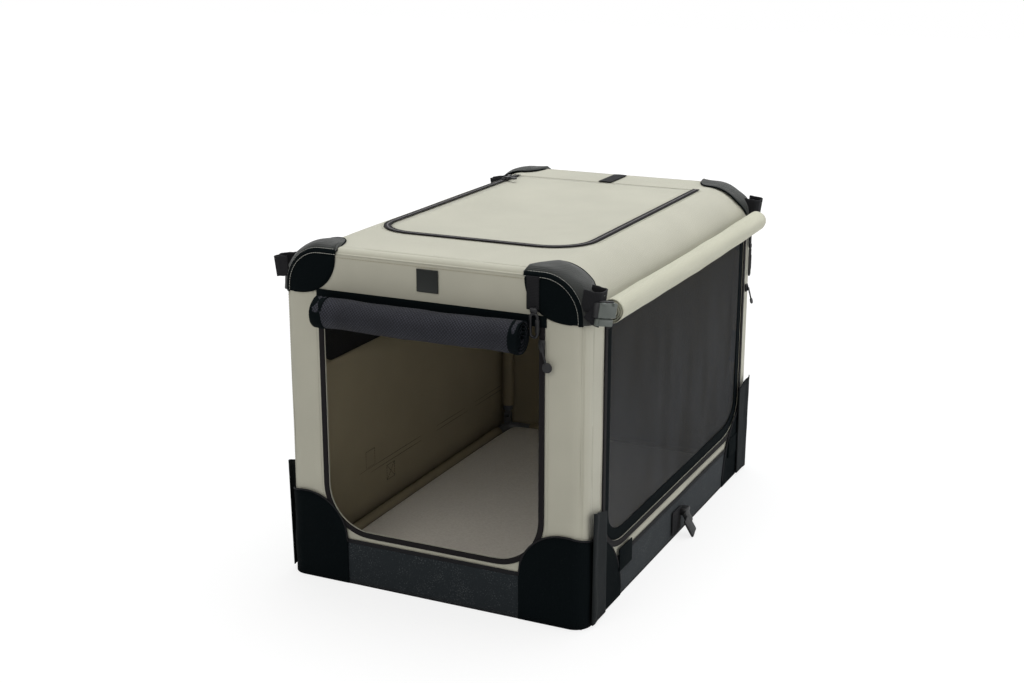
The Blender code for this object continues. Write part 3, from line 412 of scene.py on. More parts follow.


# %% [markdown]
# ## Sheets from columns of points
#
# Every panel here is a grid of quads whose points are laid along the crate. `loft` takes a grid from
# the create_grid operator and puts each of its points where a column says, and measures the cloth as
# it goes, so that ribs and holes have their true size. `finish_piece` does what every piece needs.
# A piece that folds gets a mesh of its own.

# %% Helpers for pieces
def loft(columns, closed=False):
    """A sheet of quads through columns of points, with a map in metres."""
    columns = [[Vector(point) for point in column] for column in columns]
    if closed:
        columns.append(columns[0])
    across, up = len(columns) - 1, len(columns[0]) - 1
    bm = bmesh.new()
    bmesh.ops.create_grid(bm, x_segments=across, y_segments=up, size=1)
    lengths = [[0.0] for _ in columns]
    widths = [0.0]
    for number, column in enumerate(columns):
        for first, second in zip(column, column[1:]):
            lengths[number].append(lengths[number][-1] + (second - first).length)
        if number:
            middle = up // 2
            widths.append(widths[-1] + (column[middle] - columns[number - 1][middle]).length)
    layer = bm.loops.layers.uv.new("cloth")
    cells = {vert: (round((vert.co.x + 1) / 2 * across), round((vert.co.y + 1) / 2 * up))
             for vert in bm.verts}
    for face in bm.faces:
        for corner in face.loops:
            i, j = cells[corner.vert]
            corner[layer].uv = (widths[i], lengths[i][j])
    for vert, (i, j) in cells.items():
        vert.co = columns[i][j]
    if closed:
        bmesh.ops.remove_doubles(bm, verts=bm.verts, dist=1e-6)
    return bm


def face_away(bm, middle):
    """Turns the sheet so that its faces look away from a point inside the crate."""
    bm.normal_update()
    balance = sum(face.normal.dot(face.calc_center_median() - middle) * face.calc_area()
                  for face in bm.faces)
    if balance < 0:
        bmesh.ops.reverse_faces(bm, faces=bm.faces)
    bm.normal_update()


def ruffle(bm, height, size, seed, stretch=(1, 1, 1), calm=0.03):
    """Moves the points of a cloth along their normals by slow noise that dies out at its edges."""
    bm.normal_update()
    shift = Vector((seed * 7.1, seed * 3.7, seed * 5.3))
    scale = Vector(stretch) / size
    rim = [vert.co for vert in bm.verts if vert.is_boundary]
    edges = kdtree.KDTree(len(rim))
    for number, place in enumerate(rim):
        edges.insert(place, number)
    edges.balance()
    moves = []
    for vert in bm.verts:
        share = min(edges.find(vert.co)[2] / calm, 1)
        move = noise.noise(vert.co * scale + shift) * height * share * share * (3 - 2 * share)
        moves.append((vert, vert.normal * move))
    for vert, move in moves:
        vert.co += move


def finish_piece(name, bm, material, body="root", thick=0.0, stands_for=(), slot=None,
                 folds=False, smooth=True):
    """Makes the object of a mesh, dresses it and lets it ride on its body."""
    mesh = bpy.data.meshes.new(name)
    bmesh.ops.translate(bm, vec=HOME, verts=bm.verts)
    bm.to_mesh(mesh)
    bm.free()
    if smooth:
        mesh.shade_smooth()
    piece = bpy.data.objects.new(name, mesh)
    bpy.context.scene.collection.objects.link(piece)
    mesh.materials.append(material)
    if thick:
        wall = piece.modifiers.new("cloth", "SOLIDIFY")
        wall.thickness = thick
        wall.offset = 0.0
    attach(piece, body)
    if stands_for:
        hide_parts(*([stands_for] if isinstance(stands_for, str) else stands_for))
    if folds:
        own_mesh(piece)
    return piece


told = set()


def tell(step):
    """Prints how many pieces and faces a step has made."""
    fresh = [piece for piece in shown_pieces() if piece.name not in told]
    told.update(piece.name for piece in fresh)
    faces = sum(len(piece.data.polygons) for piece in fresh)
    print(f"{step}: {len(fresh)} pieces, {faces} faces")


def four_corners():
    """Name of each corner, its side (-1 is left) and its end (-1 is the front)."""
    for end_name, end in ENDS:
        for side_name, side in SIDES:
            yield f"{end_name}_{side_name}", side, end


# %% [markdown]
# ## The shell of the crate
#
# The cloth follows one form: an arch across the crate, run along its length and turned in at both
# ends. `arch` gives the arch by the length along it, from the floor on the left over the roof to the
# floor on the right. `shell` adds the depth: below 0 it lies on the end face, then it turns the
# corner, and from there it runs along the crate. A bevelled box would be quicker to make, but the bag
# turns in a wider curve at its sides than at the edge of its roof, and trims need lengths on the cloth.

# %% The form that all cloth follows
def arch(s, inset=0.0):
    """A point of the arch, by the length along it from the floor on the left."""
    radius = SHOULDER_RADIUS - inset
    if s > ROUND / 2:
        x, z = arch(ROUND - s, inset)
        return -x, z
    if s < SHOULDER:
        return inset - HALF_WIDTH, s
    if s < SHOULDER + ARC:
        angle = (s - SHOULDER) / SHOULDER_RADIUS
        return (SHOULDER_RADIUS - HALF_WIDTH - radius * math.cos(angle),
                SHOULDER + radius * math.sin(angle))
    return SHOULDER_RADIUS - HALF_WIDTH + s - SHOULDER - ARC, HEIGHT - inset


def bend(s):
    """Radius at which the end face turns into the side or the roof."""
    share = min(max((min(s, ROUND - s) - SHOULDER) / ARC, 0), 1)
    return CORNER + (EDGE - CORNER) * share * share * (3 - 2 * share)


def shell(s, depth, lift=0.0, end=-1):
    """A point of the shell at a length along the arch and a depth from the front or rear face."""
    radius = bend(s)
    turn = min(max(depth / radius, 0), math.pi / 2)
    past = max(depth - radius * math.pi / 2, 0)
    inset = radius - min(depth, 0) - (radius + lift) * math.sin(turn)
    x, z = arch(s, inset)
    y = HALF_LENGTH - radius + (radius + lift) * math.cos(turn) - past
    return Vector((x, end * y, z))


def plan(s):
    """Round the crate seen from above, by the length from the middle of the front to the right."""
    straight_x, straight_y = HALF_WIDTH - CORNER, HALF_LENGTH - CORNER
    quarter = CORNER * math.pi / 2
    legs = ((straight_x, None), (quarter, 0), (2 * straight_y, None), (quarter, 1),
            (2 * straight_x, None), (quarter, 2), (2 * straight_y, None), (quarter, 3),
            (straight_x, None))
    point = Vector((0, -HALF_LENGTH))
    heading = 0.0
    s %= sum(length for length, _ in legs)
    for length, corner in legs:
        part = min(s, length)
        direction = Vector((math.cos(heading), math.sin(heading)))
        left = Vector((-direction.y, direction.x))
        if corner is None:
            point = point + direction * part
        else:
            angle = part / CORNER
            point = point + direction * CORNER * math.sin(angle) + left * CORNER * (1 - math.cos(angle))
            heading += angle
        s -= part
        if s <= 1e-9:
            break
    direction = Vector((math.cos(heading), math.sin(heading)))
    return point, Vector((direction.y, -direction.x))


PLAN_LENGTH = 4 * (HALF_WIDTH - CORNER) + 4 * (HALF_LENGTH - CORNER) + 2 * math.pi * CORNER


def round_crate(s, z, lift=0.0):
    """A point on the upright sides, by the length round the crate and its height."""
    point, outward = plan(s)
    point = point + outward * lift
    return Vector((point.x, point.y, z))


print(f"over the arch {ROUND:.3f} m, round the plan {PLAN_LENGTH:.3f} m")


# %% Paths along openings
def spaced(points, count):
    """The same path again in equal steps."""
    points = [Vector(point) for point in points]
    marks = [0.0]
    for first, second in zip(points, points[1:]):
        marks.append(marks[-1] + (second - first).length)
    found, leg = [], 0
    for step in range(count + 1):
        at = marks[-1] * step / count
        while leg < len(points) - 2 and marks[leg + 1] < at:
            leg += 1
        share = (at - marks[leg]) / max(marks[leg + 1] - marks[leg], 1e-12)
        found.append(points[leg].lerp(points[leg + 1], share))
    return found


def opening(half, low, high, radius, grow=0.0, steps=14, stretch=0.0):
    """Down one side of an opening, round its two lower corners and up the other side."""
    half, low, radius = half + grow, low - grow, radius + grow
    wide = radius + stretch
    path = [(-half, high)]
    for step in range(steps + 1):
        angle = math.pi + math.pi / 2 * step / steps
        path.append((-half + wide + wide * math.cos(angle), low + radius + radius * math.sin(angle)))
    for step in range(steps + 1):
        angle = 3 * math.pi / 2 + math.pi / 2 * step / steps
        path.append((half - wide + wide * math.cos(angle), low + radius + radius * math.sin(angle)))
    path.append((half, high))
    return path


print("a metre in four steps:", [point.x for point in spaced([(0, 0, 0), (1, 0, 0)], 4)])


# %% [markdown]
# ## Front and rear walls
#
# The front wall is one panel with the door cut out of it. Its columns run from the edge of the door
# outwards, over the face and round the corner, so the cloth's own lines follow the opening, as the
# seam of the zip does on the real crate. A Boolean cut would leave long thin faces there, and they
# would crease under the light.

# %% Front wall
DOOR_HALF, DOOR_LOW, DOOR_HIGH, DOOR_ROUND = 0.146, 0.075, 0.374, 0.058
FACE_ROWS, BEND_ROWS, TURN_DEPTH = 9, 5, 0.004
JAMB_STEPS, LINTEL_STEPS, SILL_STEPS = 44, 36, 26


def wall_columns(inner, arch_places, end, lift):
    """Columns from inner points of a face out to places on the arch and round the corner."""
    columns = []
    for point, s in zip(inner, arch_places):
        radius = bend(s)
        rim = shell(s, 0, lift, end)
        start = Vector((point[0], rim.y, point[1]))
        column = [start.lerp(rim, row / FACE_ROWS) for row in range(FACE_ROWS + 1)]
        full = radius * math.pi / 2
        column += [shell(s, full * row / BEND_ROWS, lift, end) for row in range(1, BEND_ROWS + 1)]
        column.append(shell(s, full + TURN_DEPTH, lift, end))
        columns.append(column)
    return columns


def parted(name, bm, cloth, stands_for=()):
    """An end wall in two pieces: the lower one below the shoulders, the upper one moves with the roof.
    """
    upper = bm.copy()
    for half, side in ((bm, {"clear_outer": True}), (upper, {"clear_inner": True})):
        bmesh.ops.bisect_plane(half, geom=half.verts[:] + half.edges[:] + half.faces[:], dist=1e-6,
                               plane_co=(0, 0, SHOULDER), plane_no=(0, 0, 1), **side)
    finish_piece(name.replace("wall", "band"), upper, cloth, "top_frame", CLOTH,
                 stands_for=stands_for, slot="fabric")
    finish_piece(name, bm, cloth, thick=CLOTH, stands_for=stands_for, slot="fabric", folds=True)


def arch_steps(start, stop, count):
    """Even steps from start to stop."""
    return [start + (stop - start) * step / count for step in range(count + 1)]


def front_wall():
    """Columns round the door from foot to foot, and short ones under it."""
    lift = -CLOTH / 2
    half_path = opening(DOOR_HALF, DOOR_LOW, DOOR_HIGH, DOOR_ROUND)
    middle = len(half_path) // 2
    top_place = SHOULDER + ARC * 0.55
    left = spaced([Vector((x, z, 0)) for x, z in half_path[:middle]], JAMB_STEPS)
    top = spaced([Vector((-DOOR_HALF, DOOR_HIGH, 0)), Vector((DOOR_HALF, DOOR_HIGH, 0))],
                 LINTEL_STEPS)
    left_columns = wall_columns([(p.x, p.y) for p in left],
                                arch_steps(top_place, HEM, JAMB_STEPS), -1, lift)
    top_columns = wall_columns([(p.x, p.y) for p in top],
                               arch_steps(top_place, ROUND - top_place, LINTEL_STEPS), -1, lift)
    right_columns = [[Vector((-p.x, p.y, p.z)) for p in column] for column in left_columns]
    columns = right_columns[:0:-1] + top_columns[::-1] + left_columns[1:]
    bottom = []
    first, last = left_columns[-1], right_columns[-1]
    sill = [Vector((x, z, 0)) for x, z in half_path[middle - 1:middle + 1]]
    inner = spaced(sill, SILL_STEPS)
    for step in range(1, SILL_STEPS):
        share = step / SILL_STEPS
        foot = first[FACE_ROWS].lerp(last[FACE_ROWS], share)
        start = Vector((inner[step].x, foot.y, inner[step].y))
        column = [start.lerp(foot, row / FACE_ROWS) for row in range(FACE_ROWS + 1)]
        column += [foot + Vector((0, 0.0008 * row, 0)) for row in range(1, BEND_ROWS + 2)]
        bottom.append(column)
    bm = loft(columns + bottom, closed=True)
    face_away(bm, INSIDE)
    ruffle(bm, 0.0020, 0.09, 1, calm=0.05)
    ruffle(bm, 0.0007, 0.03, 2, (1, 1, 0.35), 0.05)
    parted("front_wall_cloth", bm, taupe, "front_wall")


front_wall()
tell("front wall")


# %% Rear wall
REAR_CORE, REAR_STEPS, REAR_ROWS, REAR_FOOT_STEPS = 0.2, 96, 12, 24


def rear_wall(name, lift, cloth, stands_for=()):
    """Columns run from a small hole in the middle of the wall, which is then filled, to its rim."""
    places = arch_steps(HEM, ROUND - HEM, REAR_STEPS)
    columns = []
    for s in places:
        rim = shell(s, 0, lift, 1)
        core = Vector((0, rim.y, REAR_CORE))
        column = [core.lerp(rim, row / REAR_ROWS) for row in range(1, REAR_ROWS + 1)]
        full = bend(s) * math.pi / 2
        column += [shell(s, full * row / BEND_ROWS, lift, 1) for row in range(1, BEND_ROWS + 1)]
        column.append(shell(s, full + TURN_DEPTH, lift, 1))
        columns.append(column)
    bottom = []
    first, last = columns[-1], columns[0]
    for step in range(1, REAR_FOOT_STEPS):
        foot = first[REAR_ROWS - 1].lerp(last[REAR_ROWS - 1], step / REAR_FOOT_STEPS)
        core = Vector((0, foot.y, REAR_CORE))
        column = [core.lerp(foot, row / REAR_ROWS) for row in range(1, REAR_ROWS + 1)]
        column += [foot - Vector((0, 0.0008 * row, 0)) for row in range(1, BEND_ROWS + 2)]
        bottom.append(column)
    bm = loft(columns + bottom, closed=True)
    hole = [edge for edge in bm.edges if edge.is_boundary
            and all(abs(vert.co.x) < 0.06 and 0.1 < vert.co.z < 0.3 for vert in edge.verts)]
    bmesh.ops.contextual_create(bm, geom=hole)
    face_away(bm, INSIDE)
    ruffle(bm, 0.0022, 0.11, 3)
    parted(name, bm, cloth, stands_for)


rear_wall("rear_wall_cloth", -CLOTH / 2, taupe, "rear_wall")
rear_wall("rear_wall_lining", LINING_LIFT, lining)
tell("rear wall")

# %% [markdown]
# ## Side walls
#
# A side wall is a frame of cloth round the mesh: a narrow strip at each end and under the door. Rays
# from the middle of the opening pair each point of its rim with one on the edge of the wall, and a
# column of cloth joins the two.

# %% Side walls
SIDE_HALF, SIDE_MIDDLE, SIDE_LOW, SIDE_HIGH, SIDE_ROUND = 0.267, 0.007, 0.077, 0.371, 0.045
SIDE_STRETCH = 0.022
WINDOW_HALF, WINDOW_LOW, WINDOW_HIGH, WINDOW_ROUND = 0.245, 0.262, 0.366, 0.030
WALL_HALF = HALF_LENGTH - CORNER - TURN_DEPTH + 0.003
SIDE_STEPS, SIDE_ROWS = 170, 7


def rounded_box(half, low, high, round_low, round_high, steps=8, stretch=0.0):
    """A closed path round a box with rounded corners, from the middle of its foot."""
    path = [(0.0, low)]
    for x, z, start, radius in ((half, low, -90, round_low), (half, high, 0, round_high),
                                (-half, high, 90, round_high), (-half, low, 180, round_low)):
        wide = radius + (stretch if z == low else 0.0)
        centre_x = x - math.copysign(wide, x)
        centre_z = z + (radius if z == low else -radius)
        for step in range(steps + 1):
            angle = math.radians(start + 90 * step / steps)
            path.append((centre_x + wide * math.cos(angle), centre_z + radius * math.sin(angle)))
    path.append((0.0, low))
    return path


def matched(path, middle, low, high, count):
    """Points of a closed path with their partners on a box, found along rays from its middle."""
    inner = spaced([Vector((across, up, 0)) for across, up in path], count)[:-1]
    pairs = []
    for point in inner:
        ray = point - middle
        limits = [(high[axis] if ray[axis] > 0 else low[axis]) - middle[axis] for axis in (0, 1)]
        reach = min(limits[axis] / ray[axis] for axis in (0, 1) if abs(ray[axis]) > 1e-6)
        pairs.append((point, middle + ray * reach))
    return pairs


def side_opening(grow=0.0, high=SIDE_HIGH):
    """The edge of the side door, which lies a little nearer to the rear."""
    path = opening(SIDE_HALF, SIDE_LOW, high, SIDE_ROUND, grow, stretch=SIDE_STRETCH)
    return [(across + SIDE_MIDDLE, up) for across, up in path]


def side_wall(name, side, path, low, high, seed, lift=-CLOTH / 2, cloth=taupe, stands_for=()):
    """A side wall with an opening in it."""
    columns = []
    middle = Vector((0, (low + high) / 2, 0))
    for inner, outer in matched(path, middle, (-WALL_HALF, HEM), (WALL_HALF, SHOULDER), SIDE_STEPS):
        column = []
        for row in range(SIDE_ROWS + 1):
            point = inner.lerp(outer, row / SIDE_ROWS)
            column.append(Vector((side * (HALF_WIDTH + lift), point.x, point.y)))
        columns.append(column)
    bm = loft(columns, closed=True)
    face_away(bm, INSIDE)
    ruffle(bm, 0.0016, 0.07, seed)
    finish_piece(name, bm, cloth, thick=CLOTH, stands_for=stands_for, slot="fabric", folds=True)


door_path = [(across + SIDE_MIDDLE, up) for across, up
             in rounded_box(SIDE_HALF, SIDE_LOW, SIDE_HIGH, SIDE_ROUND, 0.0005,
                            stretch=SIDE_STRETCH)]
window_path = rounded_box(WINDOW_HALF, WINDOW_LOW, WINDOW_HIGH, WINDOW_ROUND, WINDOW_ROUND)
side_wall("right_wall_cloth", 1, door_path, SIDE_LOW, SIDE_HIGH, 4, stands_for="right_wall")
side_wall("left_wall_cloth", -1, window_path, WINDOW_LOW, WINDOW_HIGH, 5, stands_for="left_wall")
side_wall("left_wall_lining", -1, window_path, WINDOW_LOW, WINDOW_HIGH, 5, LINING_LIFT, lining)
tell("side walls")

# %% [markdown]
# ## The roof
#
# The roof is one panel over both shoulders with the flap cut out of it. The flap is a panel of its
# own: it hangs on a seam at the rear and a zip runs round its other three sides. Between the hoops
# nothing lies under the round of the shoulders, so it's pulled in a little. A cloth simulation could
# find that form too, but a formula gives the same one each time and is quick to change.

# %% Roof and flap
FLAP_HALF, FLAP_FRONT, FLAP_REAR, FLAP_ROUND = 0.143, -0.205, 0.235, 0.055
ROOF_HALF = HALF_LENGTH - EDGE - TURN_DEPTH + 0.003
SLACK_FROM, SLACK_OVER, PULL = 0.300, 0.060, 0.30
FLAP_MARGIN, FLAP_SAG = 0.0045, 0.0035
ROOF_STEPS, ROOF_ROWS, FLAP_STEPS, FLAP_ROWS = 180, 14, 40, 24


def roof_point(x, y, lift=0.0):
    """A point of the flat roof or of the shoulder that it runs into, pulled in between the hoops."""
    s = min(max(ROUND / 2 + x, SHOULDER), ROUND - SHOULDER)
    across, z = arch(s, -lift)
    share = (abs(s - ROUND / 2) - FLAT / 2) / ARC
    if share > 0:
        slack = min(max((SLACK_FROM - abs(y)) / SLACK_OVER, 0), 1)
        pull = PULL * slack * slack * (3 - 2 * slack)
        chord = Vector((FLAT / 2, HEIGHT)).lerp(Vector((HALF_WIDTH, SHOULDER)), share)
        across += (math.copysign(chord.x, across) - across) * pull
        z += (chord.y - z) * pull
    return Vector((across, y, z))


def make_roof():
    """The roof with the opening for the flap in it."""
    lift = -CLOTH / 2
    half_round = ROUND / 2 - SHOULDER
    middle = Vector((0, (FLAP_FRONT + FLAP_REAR) / 2, 0))
    path = rounded_box(FLAP_HALF, FLAP_FRONT, FLAP_REAR, FLAP_ROUND, 0.0005)
    columns = []
    low, high = (-half_round, -ROOF_HALF), (half_round, ROOF_HALF)
    for inner, outer in matched(path, middle, low, high, ROOF_STEPS):
        columns.append([roof_point(*inner.lerp(outer, row / ROOF_ROWS).xy, lift)
                        for row in range(ROOF_ROWS + 1)])
    bm = loft(columns, closed=True)
    face_away(bm, INSIDE)
    ruffle(bm, 0.0016, 0.10, 6, (1, 0.5, 1))
    finish_piece("roof_cloth", bm, taupe, "top_frame", CLOTH, stands_for="top_panel", slot="fabric")


def make_flap():
    """The flap sags a little between its zips."""
    margin = FLAP_MARGIN
    columns = []
    for step in range(FLAP_STEPS + 1):
        y = FLAP_FRONT + margin + (FLAP_REAR - 0.0006 - FLAP_FRONT - margin) * step / FLAP_STEPS
        from_front = y - (FLAP_FRONT + margin)
        half = FLAP_HALF - margin
        radius = FLAP_ROUND - margin
        if from_front < radius:
            half -= radius - math.sqrt(max(radius ** 2 - (radius - from_front) ** 2, 0))
        column = []
        for row in range(FLAP_ROWS + 1):
            x = half * (2 * row / FLAP_ROWS - 1)
            sag = FLAP_SAG * (1 - (x / FLAP_HALF) ** 2) * math.sin(math.pi * step / FLAP_STEPS)
            column.append(Vector((x, y, HEIGHT - CLOTH / 2 - sag)))
        columns.append(column)
    bm = loft(columns)
    face_away(bm, INSIDE)
    ruffle(bm, 0.0016, 0.08, 7, (1, 0.45, 1))
    finish_piece("roof_flap_cloth", bm, taupe, "top_flap", CLOTH, stands_for="top_flap",
                 slot="fabric")


make_roof()
make_flap()
tell("roof and flap")

# %% [markdown]
# ## Trims: ribbons, beads, stitches and blocks
#
# Most of what catches the eye on a sewn crate is trim. A ribbon is a flat strip that follows a path
# on a surface, such as a zip's tape. A bead is a thin tube along such a path, such as piping. Stitches
# are small blocks, a few faces each, because there are more than a thousand of them.

# %% Helpers for trims
X, Y, Z = Vector((1, 0, 0)), Vector((0, 1, 0)), Vector((0, 0, 1))


def path_frame(points, normals, closed=False):
    """The direction along a path and across it, at each of its points."""
    frames = []
    for place, (point, normal) in enumerate(zip(points, normals)):
        before = points[place - 1] if place or closed else point
        after = points[(place + 1) % len(points)] if place < len(points) - 1 or closed else point
        along = (after - before).normalized()
        frames.append((along, normal.cross(along).normalized()))
    return frames


def ribbon(name, points, normals, half, material, lift=0.0, crown=0.0, rows=4, closed=False,
           thick=0.0008, **facts):
    """A flat strip along a path. A crown raises its middle."""
    columns = []
    for point, normal, (_, side) in zip(points, normals, path_frame(points, normals, closed)):
        shares = [2 * row / rows - 1 for row in range(rows + 1)]
        columns.append([point + side * half * share + normal * (lift + crown * (1 - share * share))
                        for share in shares])
    return finish_piece(name, loft(columns, closed), material, thick=thick, **facts)


def add_tube(bm, points, normals, radius, sides=8, closed=False, squeeze=1.0):
    """A closed tube along a path, added to a mesh; the radius may be a list."""
    columns = []
    radii = radius if isinstance(radius, list) else [radius] * len(points)
    for point, normal, (_, side), size in zip(points, normals,
                                              path_frame(points, normals, closed), radii):
        turns = [-2 * math.pi * step / sides for step in range(sides + 1)]
        columns.append([point + (side * math.cos(turn) + normal * math.sin(turn) * squeeze) * size
                        for turn in turns])
    made = loft(columns, closed)
    bmesh.ops.remove_doubles(made, verts=made.verts, dist=1e-6)
    bmesh.ops.holes_fill(made, edges=[edge for edge in made.edges if edge.is_boundary])
    bmesh.ops.recalc_face_normals(made, faces=made.faces)
    spare = bpy.data.meshes.new("spare")
    made.to_mesh(spare)
    made.free()
    bm.from_mesh(spare)
    bpy.data.meshes.remove(spare)


def bead(name, points, normals, radius, material, sides=8, closed=False, squeeze=1.0, **facts):
    """A thin tube along a path, as a piece of its own."""
    bm = bmesh.new()
    add_tube(bm, points, normals, radius, sides, closed, squeeze)
    return finish_piece(name, bm, material, **facts)


def add_block(bm, centre, size, round_off=0.0, turn=None, segments=2):
    """A block with rounded edges, added to a mesh."""
    place = Matrix.Translation(centre) @ (turn or Matrix()) @ Matrix.Diagonal((*size, 1))
    made = bmesh.ops.create_cube(bm, size=1, matrix=place)["verts"]
    if round_off:
        edges = list(dict.fromkeys(edge for vert in made for edge in vert.link_edges))
        bmesh.ops.bevel(bm, geom=edges, offset=round_off, affect="EDGES", segments=segments,
                        profile=0.5, material=-1)


def stitches(name, rows, length, space, width, material, **facts):
    """Rows of stitches: each row is a path with its normals."""
    bm = bmesh.new()
    for points, normals in rows:
        total = sum((second - first).length for first, second in zip(points, points[1:]))
        count = max(int(total / (length + space)), 1)
        even = spaced(points, count * 2)
        for place in range(count):
            first, second = even[2 * place], even[2 * place + 1]
            share = (2 * place + 0.5) / (2 * count) * (len(normals) - 1)
            normal = normals[min(round(share), len(normals) - 1)]
            along = (second - first).normalized()
            side = normal.cross(along).normalized()
            turn = Matrix((along, side, normal)).transposed().to_4x4()
            add_block(bm, (first + second) / 2 + normal * width * 0.25,
                      (length, width, width * 0.7), turn=turn)
    return finish_piece(name, bm, material, smooth=False, **facts)


def on_front(path, lift=0.0):
    """Points and normals of a path on the front face, given as x and z."""
    points = [Vector((x, -HALF_LENGTH - lift, z)) for x, z in path]
    return points, [Vector((0, -1, 0))] * len(points)


def on_right(path, lift=0.0):
    """The same on the right side, given as y and z."""
    points = [Vector((HALF_WIDTH + lift, y, z)) for y, z in path]
    return points, [Vector((1, 0, 0))] * len(points)


def on_left(path, lift=0.0):
    """The same on the left side, given as y and z."""
    points = [Vector((-HALF_WIDTH - lift, y, z)) for y, z in path]
    return points, [Vector((-1, 0, 0))] * len(points)


def on_roof(path, lift=0.0):
    """The same on the roof, given as x and y."""
    points = [Vector((x, y, HEIGHT + lift)) for x, y in path]
    return points, [Vector((0, 0, 1))] * len(points)


def on_shell(places, lift=0.0, end=-1):
    """Points of the shell at (length along the arch, depth), with the way out of the crate."""
    points, normals = [], []
    for s, depth in places:
        points.append(shell(s, depth, lift, end))
        normals.append((shell(s, depth, 0.01, end) - shell(s, depth, 0, end)).normalized())
    return points, normals


def evened(path, normals, count):
    """A path in equal steps, where all normals are the same."""
    return spaced(path, count), [normals[0]] * (count + 1)


print("across a path that runs to the rear over the roof:", path_frame([Vector(), Y], [Z, Z])[0][1])


# %% [markdown]
# ## Zips
#
# Each zip is a woven tape with a coil down its middle, a little proud of it. The tapes of the two
# doors lie just outside their openings. The zip on the roof is the broadest and lies over the edge of
# the flap. Modelled teeth would take thousands of faces. From where a crate is looked at, ribs in the
# finish of the coil look the same, so the coil is a plain bead.

# %% Three zips
FRONT_ZIP, SIDE_ZIP, ROOF_ZIP, ZIP_LIFT, ZIP_STEPS = 0.0036, 0.0040, 0.0048, 0.0009, 150


def zip_round(name, path, normals, half, teeth, body="root", folds=False):
    """The tape of a zip and its coil."""
    path, normals = evened(path, normals, ZIP_STEPS)
    ribbon(name + "_tape", path, normals, half, tape, 0.0006, thick=0.0008, body=body,
           stands_for=name, slot="zip", folds=folds)
    bead(name + "_coil", path, normals, half * 0.36, teeth, 6, squeeze=0.7, body=body, slot="zip",
         folds=folds)


door_edge = opening(DOOR_HALF, DOOR_LOW, DOOR_HIGH, DOOR_ROUND, FRONT_ZIP)
zip_round("front_zip", *on_front(door_edge, ZIP_LIFT), FRONT_ZIP, coil, folds=True)
zip_round("side_zip", *on_right(side_opening(SIDE_ZIP), ZIP_LIFT), SIDE_ZIP, coil, folds=True)
flap_edge = opening(FLAP_HALF, FLAP_FRONT, FLAP_REAR, FLAP_ROUND)
zip_round("top_zip", *on_roof(flap_edge, ZIP_LIFT), ROOF_ZIP, lit_roof_coil, body="top_frame")
tell("zips")


# %% [markdown]
# ## Seams
#
# A seam shows as a row of short stitches, and as a thin raised line where two panels meet. A dashed
# line in an image would do from afar. Here each stitch is a small block that follows the edge it's
# sewn along, so it catches the light. Inside, the thread of the bands outside comes through in brown.

# %% Seams beside the zips
SEAM_STITCH, EDGE_STITCH = (0.0026, 0.0012, 0.0005), (0.0026, 0.0010, 0.0004)
DOOR_SEAM, ROOF_SEAM_GAP = 0.0115, 0.0075


def seam_row(surface, path, lift=0.0002):
    return evened(*surface(path, lift), 140)


stitches("wall_seam_stitches", [
    seam_row(on_front, opening(DOOR_HALF, DOOR_LOW, DOOR_HIGH - 0.004, DOOR_ROUND, DOOR_SEAM)),
    seam_row(on_right, side_opening(DOOR_SEAM, SIDE_HIGH - 0.006)),
], *SEAM_STITCH, taupe, folds=True)
stitches("roof_seam_stitches", [
    seam_row(on_roof, opening(FLAP_HALF, FLAP_FRONT, FLAP_REAR, FLAP_ROUND, ROOF_SEAM_GAP)),
    evened(*on_roof([(-FLAP_HALF, FLAP_REAR + 0.002), (FLAP_HALF, FLAP_REAR + 0.002)], 0.0002), 20),
], *SEAM_STITCH, taupe, body="top_frame")
tell("seams beside the zips")

# %% Stitches inside, where bands are sewn to the other side of the wall
BAND_STITCH, BAND_LIFT = (0.0024, 0.0014, 0.0007), -0.0052
BAND_HALF, BAND_ROWS = 0.292, (0.0730, 0.0802)


def box_stitch(y, z, size, crossed):
    """Stitches along a square, and across it if it is crossed."""
    low_y, high_y, low_z, high_z = y - size / 2, y + size / 2, z - size / 2, z + size / 2
    corners = [(low_y, low_z), (high_y, low_z), (high_y, high_z), (low_y, high_z), (low_y, low_z)]
    rows = [evened(*on_left(corners, BAND_LIFT), 20)]
    if crossed:
        rows += [evened(*on_left(ends, BAND_LIFT), 8) for ends in
                 (((low_y, low_z), (high_y, high_z)), ((low_y, high_z), (high_y, low_z)))]
    return rows


inner_rows = [evened(*on_left([(-BAND_HALF, z), (BAND_HALF, z)], BAND_LIFT), 60) for z in BAND_ROWS]
inner_rows += box_stitch(-0.128, 0.094, 0.024, False) + box_stitch(-0.072, 0.057, 0.022, True)
stitches("lining_stitches", inner_rows, *BAND_STITCH, dark_thread, folds=True)
tell("stitches inside")

# %% Seam across the rear, where the lower wall meets the band under the roof
REAR_SEAM_HALF = 0.186
rear_seam = [Vector((x, HALF_LENGTH, SHOULDER))
             for x in arch_steps(-REAR_SEAM_HALF, REAR_SEAM_HALF, 60)]
bead("rear_band_seam", rear_seam, [Y] * 61, 0.0008, taupe, 6, body="top_frame", slot="fabric")
tell("rear seam")

